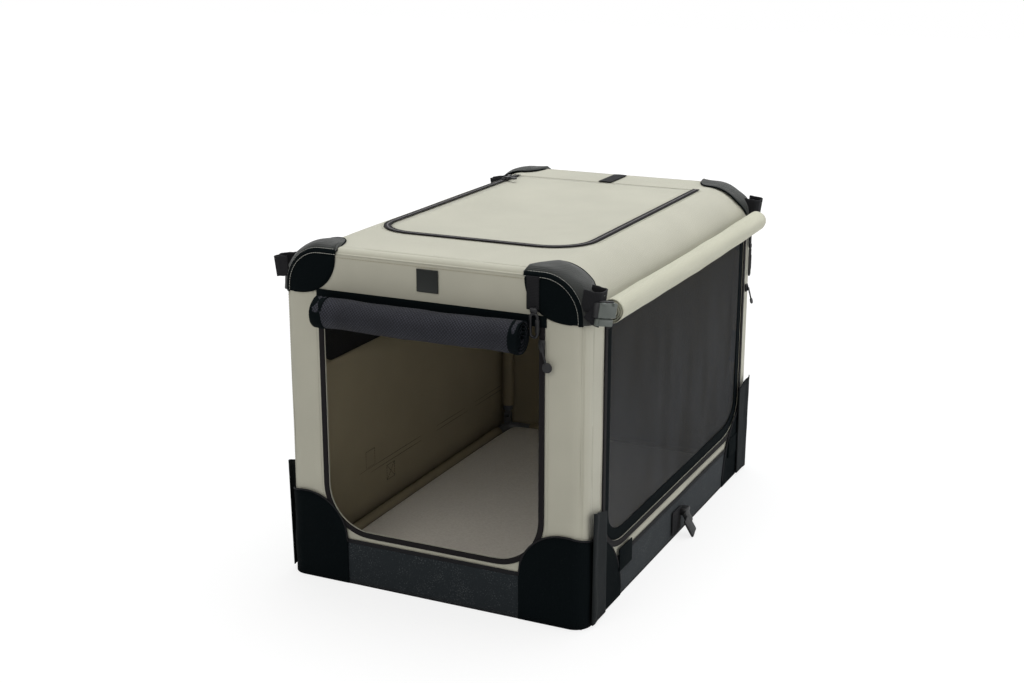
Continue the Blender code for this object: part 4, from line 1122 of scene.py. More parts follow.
# %% Edge seams
ROOF_SEAM = [SHOULDER + ARC + 0.025 + (FLAT - 0.050) * step / 60 for step in range(61)]
POST_FOOT, POST_TALL, POST_SEAM, POST_STITCH = 0.118, 0.262, 0.0118, 0.0146
for end_name, end in ENDS:
    bead(end_name + "_roof_seam", *on_shell([(s, 0.0035) for s in ROOF_SEAM], 0.0003, end), 0.0011,
         taupe, 6, body="top_frame", slot="fabric")
    rows = [on_shell([(s, -0.0008) for s in ROOF_SEAM], 0.0002, end)]
    stitches(end_name + "_roof_seam_stitches", rows, *EDGE_STITCH, lining, body="top_frame")
    for side_name, side in SIDES:
        posts = [POST_FOOT + POST_TALL * step / 40 for step in range(41)]
        posts = [ROUND - s if side > 0 else s for s in posts]
        post = f"{end_name}_{side_name}_post"
        bead(post + "_seam", *on_shell([(s, POST_SEAM) for s in posts], 0.0001, end), 0.0005, taupe,
             6, slot="fabric", folds=True)
        stitches(post + "_stitches", [on_shell([(s, POST_STITCH) for s in posts], 0.0003, end)],
                 *EDGE_STITCH, taupe, folds=True)
tell("edge seams")

# %% [markdown]
# ## The rolled-up front door
#
# The mesh door is rolled up and hangs under a strip of dark cloth, the header. The roll is a true
# spiral of four turns, a little loose, so its open end shows the turns. A cylinder would be simpler,
# but it would look solid from its end. A smooth binding covers each end of the roll.

# %% Spirals, and the roll of the front door
def spiral_columns(ends, steps, centre, radius, core, turns, start, lead, wobble, seed):
    """Columns of a rolled sheet: a lead from where it hangs, then turns from outside inwards."""
    columns = []
    for step in range(steps + 1):
        share = step / steps
        along = ends[0] + (ends[1] - ends[0]) * share
        middle = centre(share)
        column = [Vector(point) for point in lead(share)]
        count = int(turns * 26)
        for place in range(count + 1):
            angle = start + 2 * math.pi * turns * place / count
            reach = radius + (core - radius) * place / count
            loose = noise.noise(Vector((share * 9, math.cos(angle) * 1.5 + seed,
                                        math.sin(angle) * 1.5 + place / 26 * 0.6)))
            reach += loose * wobble
            column.append((along, middle[0] + reach * math.cos(angle),
                           middle[1] + reach * math.sin(angle)))
        columns.append(column)
    return columns


ROLL_Y, ROLL_Z, ROLL_RADIUS, ROLL_SAG = -0.3421, 0.3645, 0.0195, 0.0012
ROLL_CORE, ROLL_TURNS, ROLL_LOOSE = 0.0050, 4.0, 0.0010
ROLL_LEFT, ROLL_RIGHT, ROLL_SEAM = -0.1405, 0.134, 0.3770
BINDINGS = ((-0.1413, -0.1255), (0.1235, 0.1348))
HEADER_LONG, HEADER_HALF, HEADER_Z = 0.31, 0.0068, 0.3808


def front_centre(share):
    return ROLL_Y, ROLL_Z - ROLL_SAG * math.sin(math.pi * share)


def front_lead(low_x, high_x):
    """The way of the sheet from its seam to the back of the roll."""
    def lead(share):
        x = low_x + (high_x - low_x) * share
        centre_y, centre_z = front_centre(share)
        top = (x, centre_y + ROLL_RADIUS * 0.90, centre_z + ROLL_RADIUS * 0.435)
        return [Vector((x, -HALF_LENGTH - 0.0019, ROLL_SEAM)).lerp(Vector(top), row / 3)
                for row in range(3)]
    return lead


def front_roll_piece(name, low_x, high_x, steps, radius, material, **facts):
    rows = spiral_columns((low_x, high_x), steps, front_centre, radius, ROLL_CORE, ROLL_TURNS, 0.45,
                          front_lead(low_x, high_x), ROLL_LOOSE, 4.0)
    bm = loft(rows)
    bmesh.ops.reverse_faces(bm, faces=bm.faces)
    finish_piece(name, bm, material, thick=0.0012, folds=True, **facts)


front_roll_piece("front_door_roll_mesh", ROLL_LEFT, ROLL_RIGHT, 90, ROLL_RADIUS, rolled_mesh,
                 stands_for="front_door_roll", slot="mesh")
for number, (low, high) in enumerate(BINDINGS):
    front_roll_piece(f"front_roll_binding_{number}", low, high, 4, ROLL_RADIUS + 0.0009, dark,
                     slot="dark_fabric")

header_path = [(-HEADER_LONG / 2 + HEADER_LONG * step / 40, HEADER_Z) for step in range(41)]
ribbon("front_header_strip", *on_front(header_path, 0.0012), HEADER_HALF, dark, thick=0.0010,
       stands_for="front_header", slot="dark_fabric", folds=True)
tell("front roll and header")

# %% [markdown]
# ## The rolled cover of the side door
#
# The cover shows its cream reverse. It's longer than the door's roll, thinner, and sags slightly
# between the places where it is tied up. The same spiral makes it, turned to run along the side.

# %% Side cover
SIDE_ROLL_X, SIDE_ROLL_Z, SIDE_ROLL_RADIUS, SIDE_ROLL_SAG = 0.2217, 0.3945, 0.0150, 0.0020
SIDE_CORE, SIDE_TURNS, SIDE_START, SIDE_LOOSE = 0.0014, 5.6, 3.24, 0.0008
SIDE_FRONT, SIDE_REAR, SIDE_LONG = -0.288, 0.280, 0.568


def side_centre(share):
    return SIDE_ROLL_X, SIDE_ROLL_Z - SIDE_ROLL_SAG * math.sin(math.pi * share)


def side_lead(share):
    """From the seam behind the roll to the roll's back, out of sight."""
    centre_x, centre_z = side_centre(share)
    along = SIDE_FRONT + SIDE_LONG * share
    back = Vector((along, centre_x - SIDE_ROLL_RADIUS * 0.995, centre_z - SIDE_ROLL_RADIUS * 0.10))
    return [Vector((along, 0.2052, 0.3800)).lerp(back, row / 3) for row in range(3)]


rows = spiral_columns((SIDE_FRONT, SIDE_REAR), 120, side_centre, SIDE_ROLL_RADIUS, SIDE_CORE,
                      SIDE_TURNS, SIDE_START, side_lead, SIDE_LOOSE, 9.0)
bm = loft([[Vector((point[1], point[0], point[2])) for point in row] for row in rows])
bmesh.ops.reverse_faces(bm, faces=bm.faces)
finish_piece("side_cover_roll_cloth", bm, cream, "top_frame", 0.0008, stands_for="side_cover_roll",
             slot="cream_fabric")
tell("side cover")

# %% [markdown]
# ## Corner caps
#
# Each top corner has a cap of dark cloth. A lens-shaped leaf lies on the end face and a lobe runs back
# over the shoulder. Between them a raised binding follows the hoop, sewn down with two rows of pale
# stitches. Each is laid on the shell by length and depth, so it keeps to the bend and nothing has to
# be projected.

# %% Caps on the four top corners
CAP_INNER, CAP_FOOT, CAP_DEPTH = 0.127, 0.381, 0.057
CAP_STEPS, LEAF_LIFT = 40, 0.0009
CAP_STITCH = (0.0023, 0.0009, 0.0007)
LEAF_ROWS, LEAF_TURN, LOBE_ROWS = 7, 4, 14
LEAF_PUFF, LOBE_PUFF, BINDING_SHARE = 0.0012, 0.0032, 0.52


def cap_places(right, first=0.0, last=1.0, count=CAP_STEPS):
    """Lengths along the arch from the inner end of a cap to its foot on the wall."""
    inner = SHOULDER + ARC + (HALF_WIDTH - SHOULDER_RADIUS) - CAP_INNER
    places = [inner + (CAP_FOOT - inner) * (first + (last - first) * step / count)
              for step in range(count + 1)]
    return [ROUND - s for s in places] if right else places


def seam_depth(s, shift=0.0):
    """The binding runs a third of the way round the bend."""
    return BINDING_SHARE * bend(s) + shift


def cap(name, right, end):
    """A leaf on the end face, a lobe over the shoulder and the binding between them."""
    mirror = Vector((-1 if right else 1, 1))
    places = cap_places(right)
    knots = [Vector((-CAP_INNER, HEIGHT - EDGE)), Vector((-CAP_INNER, 0.402)),
             Vector((-0.149, CAP_FOOT - 0.003)), Vector((CORNER - HALF_WIDTH, CAP_FOOT))]
    outline = geometry.interpolate_bezier(*[knot * mirror for knot in knots], CAP_STEPS + 1)
    face_y = end * (HALF_LENGTH + LEAF_LIFT)
    leaf = []
    for s, edge in zip(places, outline):
        start, rim = Vector((edge.x, face_y, edge.y)), shell(s, 0, LEAF_LIFT, end)
        column = [start.lerp(rim, row / LEAF_ROWS)
                  + Y * end * LEAF_PUFF * math.sin(math.pi * row / LEAF_ROWS)
                  for row in range(LEAF_ROWS + 1)]
        leaf.append(column + [shell(s, seam_depth(s) * row / LEAF_TURN, LEAF_LIFT, end)
                              for row in range(1, LEAF_TURN + 1)])
    bm = loft(leaf)
    face_away(bm, INSIDE)
    finish_piece(name + "_leaf", bm, dark, "top_frame", 0.0010, stands_for=name,
                 slot="dark_fabric")
    lobe, rim_places = [], []
    for number, s in enumerate(cap_places(right, -0.01, 1.0)):
        t = number / CAP_STEPS
        reach = CAP_DEPTH * math.sqrt(1 - (1 - min(t / 0.22, 1)) ** 2)
        reach *= 1 - 0.45 * max(t - 0.62, 0) / 0.38
        near = seam_depth(s)
        reach = max(reach, near + 0.0015)
        lobe.append([shell(s, near + (reach - near) * row / LOBE_ROWS,
                           LEAF_LIFT + LOBE_PUFF * math.sin(math.pi * row / LOBE_ROWS) ** 0.7, end)
                     for row in range(LOBE_ROWS + 1)])
        rim_places.append((s, reach))
    bm = loft(lobe)
    face_away(bm, Vector((0.10 * -mirror.x, end * 0.2, 0.3)))
    ruffle(bm, 0.0030, 0.028, 11 - mirror.x + end, calm=0.010)
    # The lobe gets the lighter copy of the dark cloth, with painted light from above.
    finish_piece(name + "_lobe", bm, painted_lit_dark, "top_frame", 0.0010, slot="dark_fabric")
    bead(name + "_lobe_edge", *on_shell(rim_places, 0.0012, end), 0.0011, dark, 6,
         body="top_frame", slot="dark_fabric")
    middle = [(s, seam_depth(s)) for s in cap_places(right, -0.01, 1.01)]
    ribbon(name + "_binding", *on_shell(middle, 0.0019, end), 0.0029, dark, crown=0.0008,
           body="top_frame", thick=0.0010, slot="dark_fabric")
    rows = [on_shell([(s, seam_depth(s, shift)) for s in places], 0.0022, end)
            for shift in (-0.0026, 0.0026)]
    stitches(name + "_stitches", rows, *CAP_STITCH, thread, body="top_frame")


for corner_name, side, end in four_corners():
    cap(corner_name + "_top_patch", side > 0, end)
tell("caps")

# %% [markdown]
# ## Patches, straps and skirt at the foot
#
# The lower corners are covered by thick patches with a rounded top. On the side of the crate a strap
# with a folded edge runs up over each patch, and a speckled skirt goes round the crate under them.
# They're laid out by the length round the crate, so a patch is drawn flat and bends by itself.

# %% Lower corners
PATCH_WIDE, PATCH_TALL, PATCH_ROUND = 0.085, 0.119, 0.060
SIDE_REACH, SIDE_TALL = 0.115, 0.1134
STRAP_WIDE, STRAP_TALL, STRAP_SLANT, STRAP_LIFT = 0.041, 0.149, 0.011, 0.0062
PATCH_STEPS, PATCH_ROWS, STRAP_STEPS, STRAP_ROWS = 80, 12, 18, 16
PATCH_FOOT, PATCH_LIFT, STRAP_FOOT = 0.0012, 0.0024, 0.004
QUARTER = CORNER * math.pi / 2
FIRST_CORNER = HALF_WIDTH - CORNER + QUARTER / 2
LONG_STEP = 2 * (HALF_LENGTH - CORNER) + QUARTER
WIDE_STEP = 2 * (HALF_WIDTH - CORNER) + QUARTER

# The middle of each corner, measured round the crate, and the way from there to its side
CORNERS = {"front_right": FIRST_CORNER, "rear_right": FIRST_CORNER + LONG_STEP,
           "rear_left": FIRST_CORNER + LONG_STEP + WIDE_STEP,
           "front_left": FIRST_CORNER + 2 * LONG_STEP + WIDE_STEP}
SIDE_WAY = {"front_right": 1, "rear_right": -1, "rear_left": 1, "front_left": -1}


def patch_height(beyond, on_side):
    """Height of a patch at a distance from the corner: an ellipse on the side, round in front."""
    if on_side:
        return SIDE_TALL * math.sqrt(max(1 - (beyond / SIDE_REACH) ** 2, 0))
    short = min(max(PATCH_ROUND - (PATCH_WIDE - beyond), 0), PATCH_ROUND)
    return PATCH_TALL - PATCH_ROUND + math.sqrt(PATCH_ROUND ** 2 - short ** 2)


def lower_corner(name, middle):
    """A patch, its piping and the strap beside it."""
    way = SIDE_WAY[name]
    columns, rim, rim_out = [], [], []
    for step in range(PATCH_STEPS + 1):
        along = -PATCH_WIDE + (PATCH_WIDE + SIDE_REACH - 0.0005) * step / PATCH_STEPS
        s = middle + way * (along - math.copysign(CORNER - QUARTER / 2, along)
                            * min(abs(along) / CORNER, 1))
        high = patch_height(abs(along), along > 0)
        if abs(along) < CORNER:
            share = (along / CORNER + 1) / 2
            high = PATCH_TALL + (patch_height(CORNER, True) - PATCH_TALL) * share
        puff = (0.0008 if along > 0 else 0.0022) * math.sin(math.pi * min(abs(along) / PATCH_WIDE, 1))
        columns.append([round_crate(s, PATCH_FOOT + max(high - PATCH_FOOT, 0.001) * row / PATCH_ROWS,
                                    PATCH_LIFT + puff * math.sin(math.pi * row / PATCH_ROWS))
                        for row in range(PATCH_ROWS + 1)])
        rim.append(round_crate(s, max(high, 0.0022), 0.0026))
        rim_out.append(Vector((*plan(s)[1], 0)))
    bm = loft(columns)
    face_away(bm, INSIDE)
    ruffle(bm, 0.0010, 0.03, middle * 10, calm=0.012)
    finish_piece(name + "_lower_patch_cloth", bm, dark, thick=0.0012,
                 stands_for=name + "_lower_patch", slot="dark_fabric", folds=FOLDED_LOW)
    bead(name + "_patch_piping", rim, rim_out, 0.0013, webbing, 6, slot="dark_fabric",
         folds=FOLDED_LOW)
    strap = []
    proud = 0.0060 if name == "front_left" else 0.0028
    for step in range(STRAP_STEPS + 1):
        u = step / STRAP_STEPS
        s = middle + way * (QUARTER / 2 - 0.004 + STRAP_WIDE * u)
        slant = STRAP_TALL - STRAP_SLANT * u
        fold = proud * math.exp(-((u - 0.10) / 0.16) ** 2)
        strap.append([round_crate(s, STRAP_FOOT + (slant - STRAP_FOOT) * row / STRAP_ROWS,
                                  STRAP_LIFT + fold * (0.4 + 0.6 * row / STRAP_ROWS))
                      for row in range(STRAP_ROWS + 1)])
    bm = loft(strap)
    face_away(bm, INSIDE)
    ruffle(bm, 0.0012, 0.03, middle * 13, calm=0.006)
    finish_piece(name + "_closure_strap_cloth", bm, strap_cloth, thick=0.0014,
                 stands_for=name + "_closure_strap", slot="webbing", folds=FOLDED_LOW)


for name, middle in CORNERS.items():
    lower_corner(name, middle)
tell("lower corners")


# %% Skirt
SKIRT_END, SKIRT_SIDE, SKIRT_STEPS, SKIRT_ROWS = 0.0600, 0.0545, 260, 8


def skirt():
    """The skirt with a binding on its top edge and piping at its foot."""
    places = [PLAN_LENGTH * step / SKIRT_STEPS for step in range(SKIRT_STEPS)]
    tops = [SKIRT_END if abs(plan(s)[0].y) > HALF_LENGTH - CORNER / 2 else SKIRT_SIDE
            for s in places]
    columns = [[round_crate(s, 0.0010 + top * row / SKIRT_ROWS,
                            0.0009 + 0.0006 * math.sin(row / SKIRT_ROWS * math.pi))
                for row in range(SKIRT_ROWS + 1)] for s, top in zip(places, tops)]
    bm = loft(columns, closed=True)
    face_away(bm, Vector((0, 0, 0.03)))
    finish_piece("base_skirt_cloth", bm, skirt_cloth, thick=0.0010, stands_for="base_skirt",
                 slot="dark_fabric")
    outward = [Vector((*plan(s)[1], 0)) for s in places]
    rim = [round_crate(s, top, 0.0016) for s, top in zip(places, tops)]
    ribbon("skirt_top_binding", rim, outward, 0.0026, webbing, closed=True, slot="webbing")
    bead("skirt_bottom_piping", [round_crate(s, 0.0016, 0.0006) for s in places], outward, 0.0014,
         webbing, 6, closed=True, slot="webbing")


skirt()
tell("skirt")

# %% [markdown]
# ## Mesh door, window and floor
#
# The side door is a sheet of mesh in a hem of webbing, and the window in the left wall is a pane of
# close mesh sewn in from inside. Slow noise along the normals gives them their slack, and it dies out
# at the rim, where the cloth is sewn down. The floor is a dark sheet that lies under the mat.

# %% Mesh door
HEM_HALF, HEM_SET_IN, TOP_HEM_HALF = 0.0077, 0.0080, 0.0050


def flat_sheet(half, low, high, radius, surface, across=44, up=26, sink=0.0, stretch=0.0):
    """A sheet in an opening with rounded lower corners: its columns end on the outline."""
    columns = []
    for step in range(across + 1):
        place = -half + 2 * half * step / across
        foot = low
        wide = radius + stretch
        if abs(place) > half - wide:
            share = (abs(place) - half + wide) / wide
            foot += radius * (1 - math.sqrt(max(1 - share ** 2, 0)))
        points = [(place, foot + (high - foot) * row / up) for row in range(up + 1)]
        columns.append(surface(points, sink)[0])
    return loft(columns)


bm = flat_sheet(SIDE_HALF - 0.001, SIDE_LOW + 0.001, SIDE_HIGH, SIDE_ROUND, on_right, 90, 40,
                -0.0010, SIDE_STRETCH)
bmesh.ops.translate(bm, vec=(0, SIDE_MIDDLE, 0), verts=bm.verts)
face_away(bm, INSIDE)
ruffle(bm, 0.0036, 0.16, 21, (1, 1.2, 0.8))
ruffle(bm, 0.0012, 0.035, 24, (1, 1.0, 0.25), 0.06)
finish_piece("side_mesh_door_cloth", bm, mesh_cloth, "side_mesh_door", stands_for="side_mesh_door",
             slot="mesh", folds=True)
hem_path = evened(*on_right(side_opening(-HEM_SET_IN), -0.0004), 150)
ribbon("side_mesh_door_hem", *hem_path, HEM_HALF, dark, body="side_mesh_door", slot="webbing",
       folds=True)
top_hem = evened(*on_right([(SIDE_MIDDLE + half, SIDE_HIGH - 0.004)
                            for half in (-SIDE_HALF, SIDE_HALF)], -0.0002), 60)
ribbon("side_mesh_door_top_hem", *top_hem, TOP_HEM_HALF, webbing, body="side_mesh_door",
       slot="webbing", folds=True)
tell("mesh door")

# %% Window
window_mesh = knitted("window_mesh", (0.010, 0.010, 0.012), 0.0022)
PANE_SEAM = 0.006
bm = flat_sheet(WINDOW_HALF + PANE_SEAM, WINDOW_LOW - PANE_SEAM, WINDOW_HIGH + PANE_SEAM, 0.02,
                on_left, 60, 20, -0.0027)
face_away(bm, INSIDE)
ruffle(bm, 0.0006, 0.06, 22)
finish_piece("left_window_pane", bm, window_mesh, thick=0.0006, stands_for="left_window_mesh",
             slot="mesh", folds=True)
window_rim = spaced([Vector((x, z, 0)) for x, z in window_path], 150)[:-1]
points, normals = on_left([(p.x, p.y) for p in window_rim], 0.0004)
ribbon("left_window_binding", points, normals, 0.0040, webbing, closed=True, slot="webbing",
       folds=True)
tell("window")

# %% Floor sheet
FLOOR_WIDE, FLOOR_LONG = 0.403, 0.633
columns = [[Vector((x, -FLOOR_LONG / 2 + FLOOR_LONG * row / 12, 0.0008)) for row in range(13)]
           for x in [-FLOOR_WIDE / 2 + FLOOR_WIDE * step / 8 for step in range(9)]]
finish_piece("floor_sheet", loft(columns), dark, thick=0.0012, stands_for="floor_panel",
             slot="dark_fabric")
tell("floor sheet")


# %% [markdown]
# ## The mat
#
# The mat is foam in a fleece cover: a thin closed form that is crowned on top and drawn in a little
# at its ends. A bevelled block would look hard. The outline of a superellipse stays flat along its
# faces and turns softly at its edges, as a stuffed cover does.

# %% Fleece mat
MAT_WIDE, MAT_LONG, MAT_LOW, MAT_HIGH = 0.1795, 0.2900, 0.0020, 0.0186
MAT_STEPS, MAT_ROWS, MAT_SQUARE, MAT_CROWN = 80, 96, 0.35, 0.0012


def superellipse(angle, power):
    """A point of a circle that gets squarer as the power gets lower."""
    across, up = math.cos(angle), math.sin(angle)
    return (math.copysign(abs(across) ** power, across), math.copysign(abs(up) ** power, up))


def make_mat():
    """The cushion, whose thickness runs out at both ends."""
    columns = []
    middle, half = (MAT_LOW + MAT_HIGH) / 2, (MAT_HIGH - MAT_LOW) / 2
    for step in range(MAT_STEPS + 1):
        along = -math.pi / 2 + math.pi * step / MAT_STEPS
        y_share, slim = math.sin(along), max(math.cos(along), 0) ** 0.22
        column = []
        for place in range(MAT_ROWS + 1):
            x, z = superellipse(-2 * math.pi * place / MAT_ROWS, MAT_SQUARE)
            y_place = math.copysign(abs(y_share) ** 0.8, y_share) * MAT_LONG
            rise = half * z * slim
            if z > 0:
                rise += MAT_CROWN * (1 - abs(x) ** 2) * slim
            column.append(Vector((x * MAT_WIDE * (0.93 + 0.07 * slim), y_place, middle + rise)))
        columns.append(column)
    bm = loft(columns)
    bmesh.ops.remove_doubles(bm, verts=bm.verts, dist=1e-5)
    bmesh.ops.recalc_face_normals(bm, faces=bm.faces)
    return bm


mat = finish_piece("mat_cushion", make_mat(), fleece, stands_for="mat", slot="fleece")
tell("mat")

# %% [markdown]
# ## Webbing loops and the roof strap
#
# A loop of webbing is sewn to each shoulder. It is a flat band folded out and back, and its width
# stands upright. The fold is a path of a few points, and noise bends the band a little, because worn
# webbing isn't straight.

# %% Loops
LOOP_PLACE, LOOP_TILT = math.radians(26.5), math.radians(-8)
LOOP_Y, LOOP_HALF, LOOP_STITCH = 0.305, 0.0125, (0.0018, 0.0010, 0.0005)
LOOP_PATH = [(-0.004, -0.0122), (0.009, -0.0126), (0.0136, -0.0118), (0.0158, -0.0092),
             (0.0166, -0.0050), (0.0169, 0.0000), (0.0166, 0.0050), (0.0158, 0.0092),
             (0.0136, 0.0118), (0.009, 0.0126), (-0.004, 0.0122)]


def loop(name, sign, end):
    """A folded band at a shoulder, and two short rows of stitches on its fold."""
    outward = Vector((sign * math.cos(LOOP_TILT), 0, math.sin(LOOP_TILT)))
    up = Vector((-sign * math.sin(LOOP_TILT), 0, math.cos(LOOP_TILT)))
    base = SHOULDER_RADIUS + 0.0026
    middle = Vector((sign * (HALF_WIDTH - SHOULDER_RADIUS + base * math.cos(LOOP_PLACE)),
                     end * LOOP_Y, SHOULDER + base * math.sin(LOOP_PLACE)))
    path = spaced([Vector((reach, along, 0)) for reach, along in LOOP_PATH], 48)
    columns = []
    for number, point in enumerate(path):
        crease = noise.noise(Vector((point.x * 140, point.y * 140, sign + 3 * end)))
        centre = middle + outward * (point.x + 0.0012 * crease) + Vector((0, end * point.y, 0))
        width = LOOP_HALF + 0.0008 * crease
        columns.append([centre + up * width * (row / 4 - 1) for row in range(9)])
    bm = loft(columns)
    face_away(bm, middle + outward * 0.008)
    finish_piece(name + "_band", bm, webbing, "top_frame", 0.0018, stands_for=name, slot="webbing")
    rows = []
    for shift in (-0.0085, 0.0085):
        row = [middle + outward * 0.0181 + Vector((0, end * along, 0)) + up * shift
               for along in (-0.006, 0.0, 0.006)]
        rows.append((row, [outward] * 3))
    stitches(name + "_stitches", rows, *LOOP_STITCH, grey_plastic, body="top_frame")


for corner_name, side, end in four_corners():
    loop(corner_name + "_webbing_loop", side, end)

FLAP_STRAP_FROM, FLAP_STRAP_LONG, FLAP_STRAP_HALF = 0.2345, 0.0640, 0.0100
strap_path = [(0.0, FLAP_STRAP_FROM + FLAP_STRAP_LONG * step / 20) for step in range(21)]
ribbon("flap_strap_webbing", *on_roof(strap_path, 0.0016), FLAP_STRAP_HALF, webbing, crown=0.0004,
       body="top_frame", thick=0.0012, stands_for="flap_strap", slot="webbing")
tell("loops and roof strap")


# %% [markdown]
# ## Badge, hooks, buckle, clip and sliders
#
# The badge is a plain moulded patch with a raised rim. The hard parts are small mouldings: blocks
# with rounded edges and thin tubes, built lying flat and then turned to where they hang.

# %% Badge
BADGE_PLACE, BADGE_SIZE, BADGE_RIM = Vector((0, -0.3212, 0.413)), (0.0290, 0.0014, 0.0280), 0.0011
bm = bmesh.new()
add_block(bm, BADGE_PLACE, BADGE_SIZE, 0.0006)
front_faces = [face for face in bm.faces if face.normal.y < -0.99]
bmesh.ops.inset_region(bm, faces=front_faces, thickness=BADGE_RIM, depth=0)
inner_verts = list(dict.fromkeys(vert for face in front_faces for vert in face.verts))
bmesh.ops.translate(bm, vec=(0, 0.0005, 0), verts=inner_verts)
badge_rubber = moulded("badge_rubber", (0.0035, 0.0050, 0.0040), 0.6)
finish_piece("badge_patch", bm, badge_rubber, "top_frame", stands_for="badge", slot="plastic")
tell("badge")


# %% Sliders
def place_matrix(place, along, outward):
    """Puts a moulding built lengthways on Y and facing Z where it belongs."""
    turn = Matrix((along.cross(outward), along, outward)).transposed()
    return Matrix.Translation(place) @ turn.to_4x4()


def slider(name, node, body, place, along, outward, hang, disc=0.0044, reach=0.0212, folds=False):
    """The pull is built along Y of a frame of its own that hangs from the slider."""
    bm = bmesh.new()
    add_block(bm, Vector((0, 0, 0.0016)), (0.0078, 0.0115, 0.0030), 0.0009)
    add_block(bm, Vector((0, 0.0004, 0.0037)), (0.0026, 0.0082, 0.0014), 0.0005)
    bmesh.ops.transform(bm, matrix=place_matrix(place, along, outward), verts=bm.verts)
    finish_piece(name + "_body", bm, plastic, body, stands_for=node, slot="plastic", folds=folds)
    bm = bmesh.new()
    add_block(bm, Vector((0, 0.0045, 0.0048)), (0.0046, 0.0085, 0.0011), 0.0004)
    cord_end = reach - disc + 0.001
    path = [Vector((0, 0.008 + (cord_end - 0.008) * step / 8, 0.0048)) for step in range(9)]
    add_tube(bm, path, [Z] * 9, 0.0012, 8)
    coin = bmesh.ops.create_cone(bm, cap_ends=True, segments=32, radius1=disc, radius2=disc,
                                 depth=0.0022, matrix=Matrix.Translation((0, reach, 0.0048)))
    rims = list(dict.fromkeys(edge for vert in coin["verts"] for edge in vert.link_edges
                              if len(edge.link_faces) == 2 and edge.calc_face_angle(0) > 1))
    bmesh.ops.bevel(bm, geom=rims, offset=0.0006, affect="EDGES", segments=2, profile=0.5,
                    material=-1)
    bmesh.ops.transform(bm, matrix=place_matrix(place, *hang), verts=bm.verts)
    finish_piece(name + "_pull", bm, plastic, body, slot="plastic", folds=folds)


slider("front_slider", "front_zip_slider", "front_zip_slider", (0.1500, -0.3218, 0.354),
       -Z, -Y, (X * 0.302 - Z * 0.953, -Y), 0.0062, 0.0275, folds=True)
slider("side_slider", "side_zip_slider", "side_zip_slider", (0.2068, 0.2875, 0.290),
       -Z, X, (X * 0.259 - Z * 0.966, X * 0.966 + Z * 0.259), folds=True)
slider("roof_slider", "top_zip_slider", "top_zip_slider", (-0.143, 0.190, 0.4413),
       Y, Z, (X * 0.9 - Y * 0.436, Z))
slider("second_roof_slider", "top_zip_slider", "top_frame", (-0.143, 0.2065, 0.4413),
       Y, Z, (X * 0.3 - Y * 0.954, Z))
tell("sliders")


# %% Hooks
def stadium(half, radius, steps=10):
    """A closed path of two straights and two half circles, long along Y."""
    path = []
    for start, centre in ((0, half), (180, -half)):
        for step in range(steps + 1):
            turn = math.radians(start + 180 * step / steps)
            path.append(Vector((radius * math.cos(turn), centre + radius * math.sin(turn), 0)))
    return path


def ring_hook(name, node, place, along, outward, length, bow=0.0033, wire=0.0012):
    """A ring with a sprung gate on one side and a swivel above it."""
    bm = bmesh.new()
    path = [point + Y * length / 2 for point in stadium(length / 2 - bow - wire, bow)]
    add_tube(bm, path, [Z] * len(path), wire, 8, closed=True)
    gate = wire * 2.5
    add_block(bm, Vector((-bow, length * 0.52, 0)), (gate, length * 0.50, gate), wire * 0.6)
    add_block(bm, Vector((0, -0.0020, 0)), (bow * 2, 0.0064, wire * 3), wire * 0.8)
    bmesh.ops.transform(bm, matrix=place_matrix(place, along, outward), verts=bm.verts)
    finish_piece(name, bm, plastic, stands_for=node, slot="plastic", folds=True)


hook_strap = [(0.1385, 0.4340 - 0.0395 * step / 14) for step in range(15)]
ribbon("front_hook_strap", *on_front(hook_strap, 0.0034), 0.0078, webbing, thick=0.0014,
       body="top_frame", slot="webbing")
ring_hook("front_hook_ring", "front_roll_hook", (0.1418, -0.3275, 0.393), -Z, -Y, 0.032, 0.0044,
          0.0019)
side_strap = evened(*on_right([(0.2956, 0.372), (0.2956, 0.352)], 0.0036), 8)
ribbon("side_hook_strap", *side_strap, 0.0052, webbing, thick=0.0014, slot="webbing", folds=True)
ring_hook("side_hook_ring", "side_roll_hook", (0.2093, 0.2956, 0.350), -Z, X, 0.044)
tell("hooks")

# %% [markdown]
# The buckle hangs from the loop at the front right. Its socket is a black shell with a grey face, and
# the clip below it has a tongue and two prongs that reach up into the socket. All its blocks are
# listed upright and turned together, so it can be hung at another angle with one matrix.

# %% Buckle
BUCKLE_TURN = (Matrix.Translation((0.2195, -0.3065, 0.3996))
               @ Matrix.Rotation(math.radians(-38), 4, "Z") @ Matrix.Rotation(math.radians(-9), 4, "X")
               @ Matrix.Translation((0, 0, -0.3712)))


def buckle_part(name, material, blocks, body, **facts):
    """Blocks about the middle of the buckle: out of the wall, along it and up."""
    bm = bmesh.new()
    for place, size, round_off in blocks:
        add_block(bm, Vector(place), size, round_off)
    bmesh.ops.transform(bm, matrix=BUCKLE_TURN, verts=bm.verts)
    finish_piece(name, bm, material, body, slot="plastic", **facts)


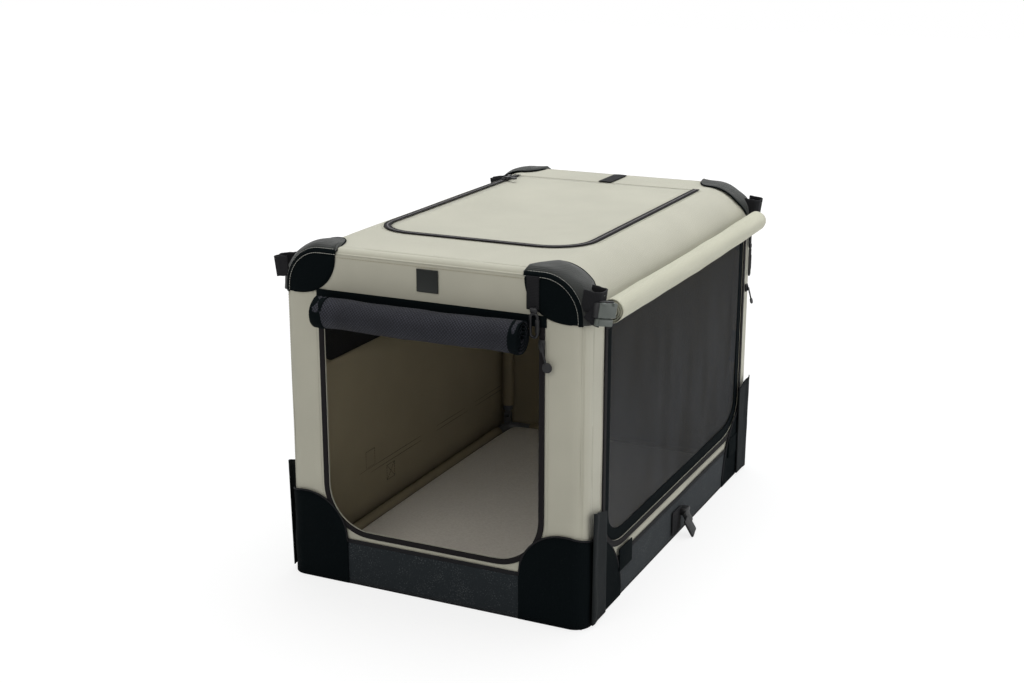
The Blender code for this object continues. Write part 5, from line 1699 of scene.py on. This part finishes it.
buckle_part("buckle_socket_shell", plastic, [
    ((0.0030, -0.0010, 0.3712), (0.0078, 0.0276, 0.0176), 0.0016),
    ((0.0026, 0, 0.3806), (0.0044, 0.0200, 0.0030), 0.0010)], "top_frame",
    stands_for="buckle_socket")
buckle_part("buckle_socket_plate", grey_plastic, [
    ((0.0072, 0.0010, 0.3716), (0.0018, 0.0232, 0.0174), 0.0007),
    ((0.0080, 0.0080, 0.3790), (0.0036, 0.0040, 0.0040), 0.0009),
    ((0.0080, -0.0060, 0.3792), (0.0030, 0.0060, 0.0030), 0.0009)], "top_frame")
buckle_part("buckle_clip_body", grey_plastic, [
    ((0.0032, 0, 0.3572), (0.0066, 0.0222, 0.0090), 0.0014),
    ((0.0070, 0, 0.3576), (0.0014, 0.0160, 0.0066), 0.0005),
    ((0.0032, 0, 0.3600), (0.0040, 0.0090, 0.0060), 0.0008),
    ((0.0032, 0.0072, 0.3602), (0.0036, 0.0028, 0.0056), 0.0008),
    ((0.0032, -0.0072, 0.3602), (0.0036, 0.0028, 0.0056), 0.0008)], "buckle_clip",
    stands_for="buckle_clip")
strap_drop = spaced([Vector((0.2080, -0.3195, 0.4010)), Vector((0.2120, -0.3185, 0.3970)),
                     Vector((0.2165, -0.3150, 0.3920)), Vector((0.2195, -0.3110, 0.3900))], 16)
ribbon("buckle_strap", strap_drop, [(X * 0.5 - Y * 0.86).normalized()] * 17, 0.0110, webbing,
       body="top_frame", thick=0.0014, slot="webbing")
tell("buckle")

# %% Base clip and tabs
LEAN = Matrix.Rotation(math.radians(-22), 4, "Y") @ Matrix.Rotation(math.radians(18), 4, "X")
bm = bmesh.new()
add_block(bm, Vector((0.2130, 0.021, 0.0330)), (0.0110, 0.0180, 0.0090), 0.0014)
add_block(bm, Vector((0.2185, 0.018, 0.0260)), (0.0070, 0.0130, 0.0200), 0.0016, LEAN)
finish_piece("base_clip_hook", bm, plastic, stands_for="base_clip", slot="plastic")
bm = bmesh.new()
add_block(bm, Vector((0.2245, 0.013, 0.0155)), (0.0036, 0.0200, 0.0270), 0.0014, LEAN)
finish_piece("base_clip_tongue", bm, plastic, slot="plastic")


def side_tab(name, low_y, high_y, low_z, high_z, cloth):
    """A flat tab of webbing sewn over the edge of the skirt."""
    bm = bmesh.new()
    size = (0.0018, high_y - low_y, high_z - low_z)
    centre = Vector((HALF_WIDTH + 0.0038, (low_y + high_y) / 2, (low_z + high_z) / 2))
    add_block(bm, centre, size, 0.0006)
    layer = bm.loops.layers.uv.new("cloth")
    for face in bm.faces:
        for corner in face.loops:
            corner[layer].uv = corner.vert.co.yz
    finish_piece(name, bm, cloth, slot="webbing", folds=0.80)


side_tab("base_clip_tab", -0.017, 0.017, 0.008, 0.0415, webbing)
side_tab("front_skirt_tab", -0.214, -0.171, 0.036, 0.0665, dark)
side_tab("rear_skirt_tab", 0.228, 0.279, 0.040, 0.0690, dark)
tell("clip and tabs")

# %% [markdown]
# ## The frame
#
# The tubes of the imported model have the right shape, so they stay and get a coated finish. Sleeves of
# the lining's cloth are sewn round the legs and hide most of them.

# %% Finish of the frame
for node_name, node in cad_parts.items():
    if node.hide_render:
        continue
    node.data.materials.clear()
    node.data.materials.append(plastic if "button" in node_name else steel)
    print("kept:", node_name)

# %% Sleeves
LEG_X, LEG_Y, SLEEVE_RADIUS = 0.1916, 0.302, 0.0087
LOWER_SLEEVE, UPPER_SLEEVE = (0.046, 0.170), (0.220, 0.344)
CHANNEL_RADIUS, CHANNEL_Z, CHANNEL_SIDE, CHANNEL_REAR = 0.0086, 0.0100, 0.262, 0.150
SLEEVE_STEPS, SLEEVE_SIDES = 32, 16


def sleeve(name, side, end, low, high, body):
    """A tube of cloth round a leg, uneven by a fraction of a millimetre."""
    columns = []
    for step in range(SLEEVE_STEPS + 1):
        z = low + (high - low) * step / SLEEVE_STEPS
        column = []
        for place in range(SLEEVE_SIDES + 1):
            turn = 2 * math.pi * place / SLEEVE_SIDES
            reach = SLEEVE_RADIUS
            reach += 0.0006 * noise.noise(Vector((math.cos(turn), math.sin(turn), z * 60)))
            column.append((side * LEG_X - reach * math.cos(turn),
                           end * LEG_Y + reach * math.sin(turn), z))
        columns.append(column)
    bm = loft(columns)
    bmesh.ops.remove_doubles(bm, verts=bm.verts, dist=1e-6)
    bmesh.ops.recalc_face_normals(bm, faces=bm.faces)
    finish_piece(name, bm, lining, body, slot="fabric")


for corner_name, side, end in four_corners():
    legs = corner_name.split("_")[0]
    sleeve(corner_name + "_lower_sleeve", side, end, *LOWER_SLEEVE, legs + "_lower_legs")
    sleeve(corner_name + "_upper_sleeve", side, end, *UPPER_SLEEVE, legs + "_upper_legs")

for side in (-1, 1):
    path = [Vector((side * LEG_X, y, CHANNEL_Z)) for y in arch_steps(-CHANNEL_SIDE, CHANNEL_SIDE, 40)]
    bead(f"base_channel_{side}", path, [Z] * 41, CHANNEL_RADIUS, lining, 14, slot="fabric")
path = [Vector((x, LEG_Y, CHANNEL_Z)) for x in arch_steps(-CHANNEL_REAR, CHANNEL_REAR, 24)]
bead("base_channel_rear", path, [Z] * 25, CHANNEL_RADIUS, lining, 14, slot="fabric")
tell("sleeves and channels")

# %% [markdown]
# ## Pieces by name
#
# Trims that are sewn to a sheet are named with it, and `along` lists the pieces whose names start with
# a prefix.


def along(prefix):
    """The names of the pieces that start with a prefix."""
    return [piece.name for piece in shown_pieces() if piece.name.startswith(prefix)]


# %% [markdown]
# ## Floor, backdrop and finish
#
# The floor is pale. For the camera it gives off most of its own light, so it meets the white world
# without an edge, but it still shows the shadow of the crate.

# %% Stage
bm = bmesh.new()
bmesh.ops.create_grid(bm, x_segments=1, y_segments=1, size=8.0)
ground_mesh = bpy.data.meshes.new("ground")
bm.to_mesh(ground_mesh)
bm.free()
ground = bpy.data.objects.new("ground", ground_mesh)
bpy.context.scene.collection.objects.link(ground)
ground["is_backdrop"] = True

floor_finish = Finish("pale_floor", 0.9, Base_Color=(0.90, 0.90, 0.90, 1))
seen = floor_finish.node("ShaderNodeLightPath", output="Is Camera Ray")
away = floor_finish.node("ShaderNodeVectorMath", {"operation": "LENGTH"},
                         {0: floor_finish.place()}, "Value")
share = floor_finish.node("ShaderNodeMapRange", {"interpolation_type": "SMOOTHSTEP"},
                          {"Value": away, "From Min": 0.6, "From Max": 2.0,
                           "To Min": 0.72, "To Max": 1.0})
glow = floor_finish.node("ShaderNodeEmission", {}, {"Color": (1, 1, 1, 1), "Strength": 1.1})
output = floor_finish.tree.nodes["Material Output"]
lit = Wire(floor_finish, floor_finish.shader.outputs[0])
mixed = floor_finish.node("ShaderNodeMixShader", {}, {0: seen * share, 1: lit, 2: glow})
floor_finish.tree.links.new(mixed.socket, output.inputs["Surface"])
ground_mesh.materials.append(floor_finish.material)

world = bpy.data.worlds.new("studio")
bpy.context.scene.world = world
world.use_nodes = True
tree = world.node_tree
background = tree.nodes["Background"]
rays = tree.nodes.new("ShaderNodeLightPath")
shown = rays.outputs["Is Camera Ray"]
for kind in ("Is Glossy Ray", "Is Transmission Ray"):
    either = tree.nodes.new("ShaderNodeMath")
    either.operation = "MAXIMUM"
    tree.links.new(shown, either.inputs[0])
    tree.links.new(rays.outputs[kind], either.inputs[1])
    shown = either.outputs[0]
strength = tree.nodes.new("ShaderNodeMapRange")
strength.inputs["To Min"].default_value = 0.35
strength.inputs["To Max"].default_value = 1.0
tree.links.new(shown, strength.inputs["Value"])
tree.links.new(strength.outputs[0], background.inputs["Strength"])
background.inputs["Color"].default_value = (1, 1, 1, 1)
print("stage:", ground.name, "and", world.name)
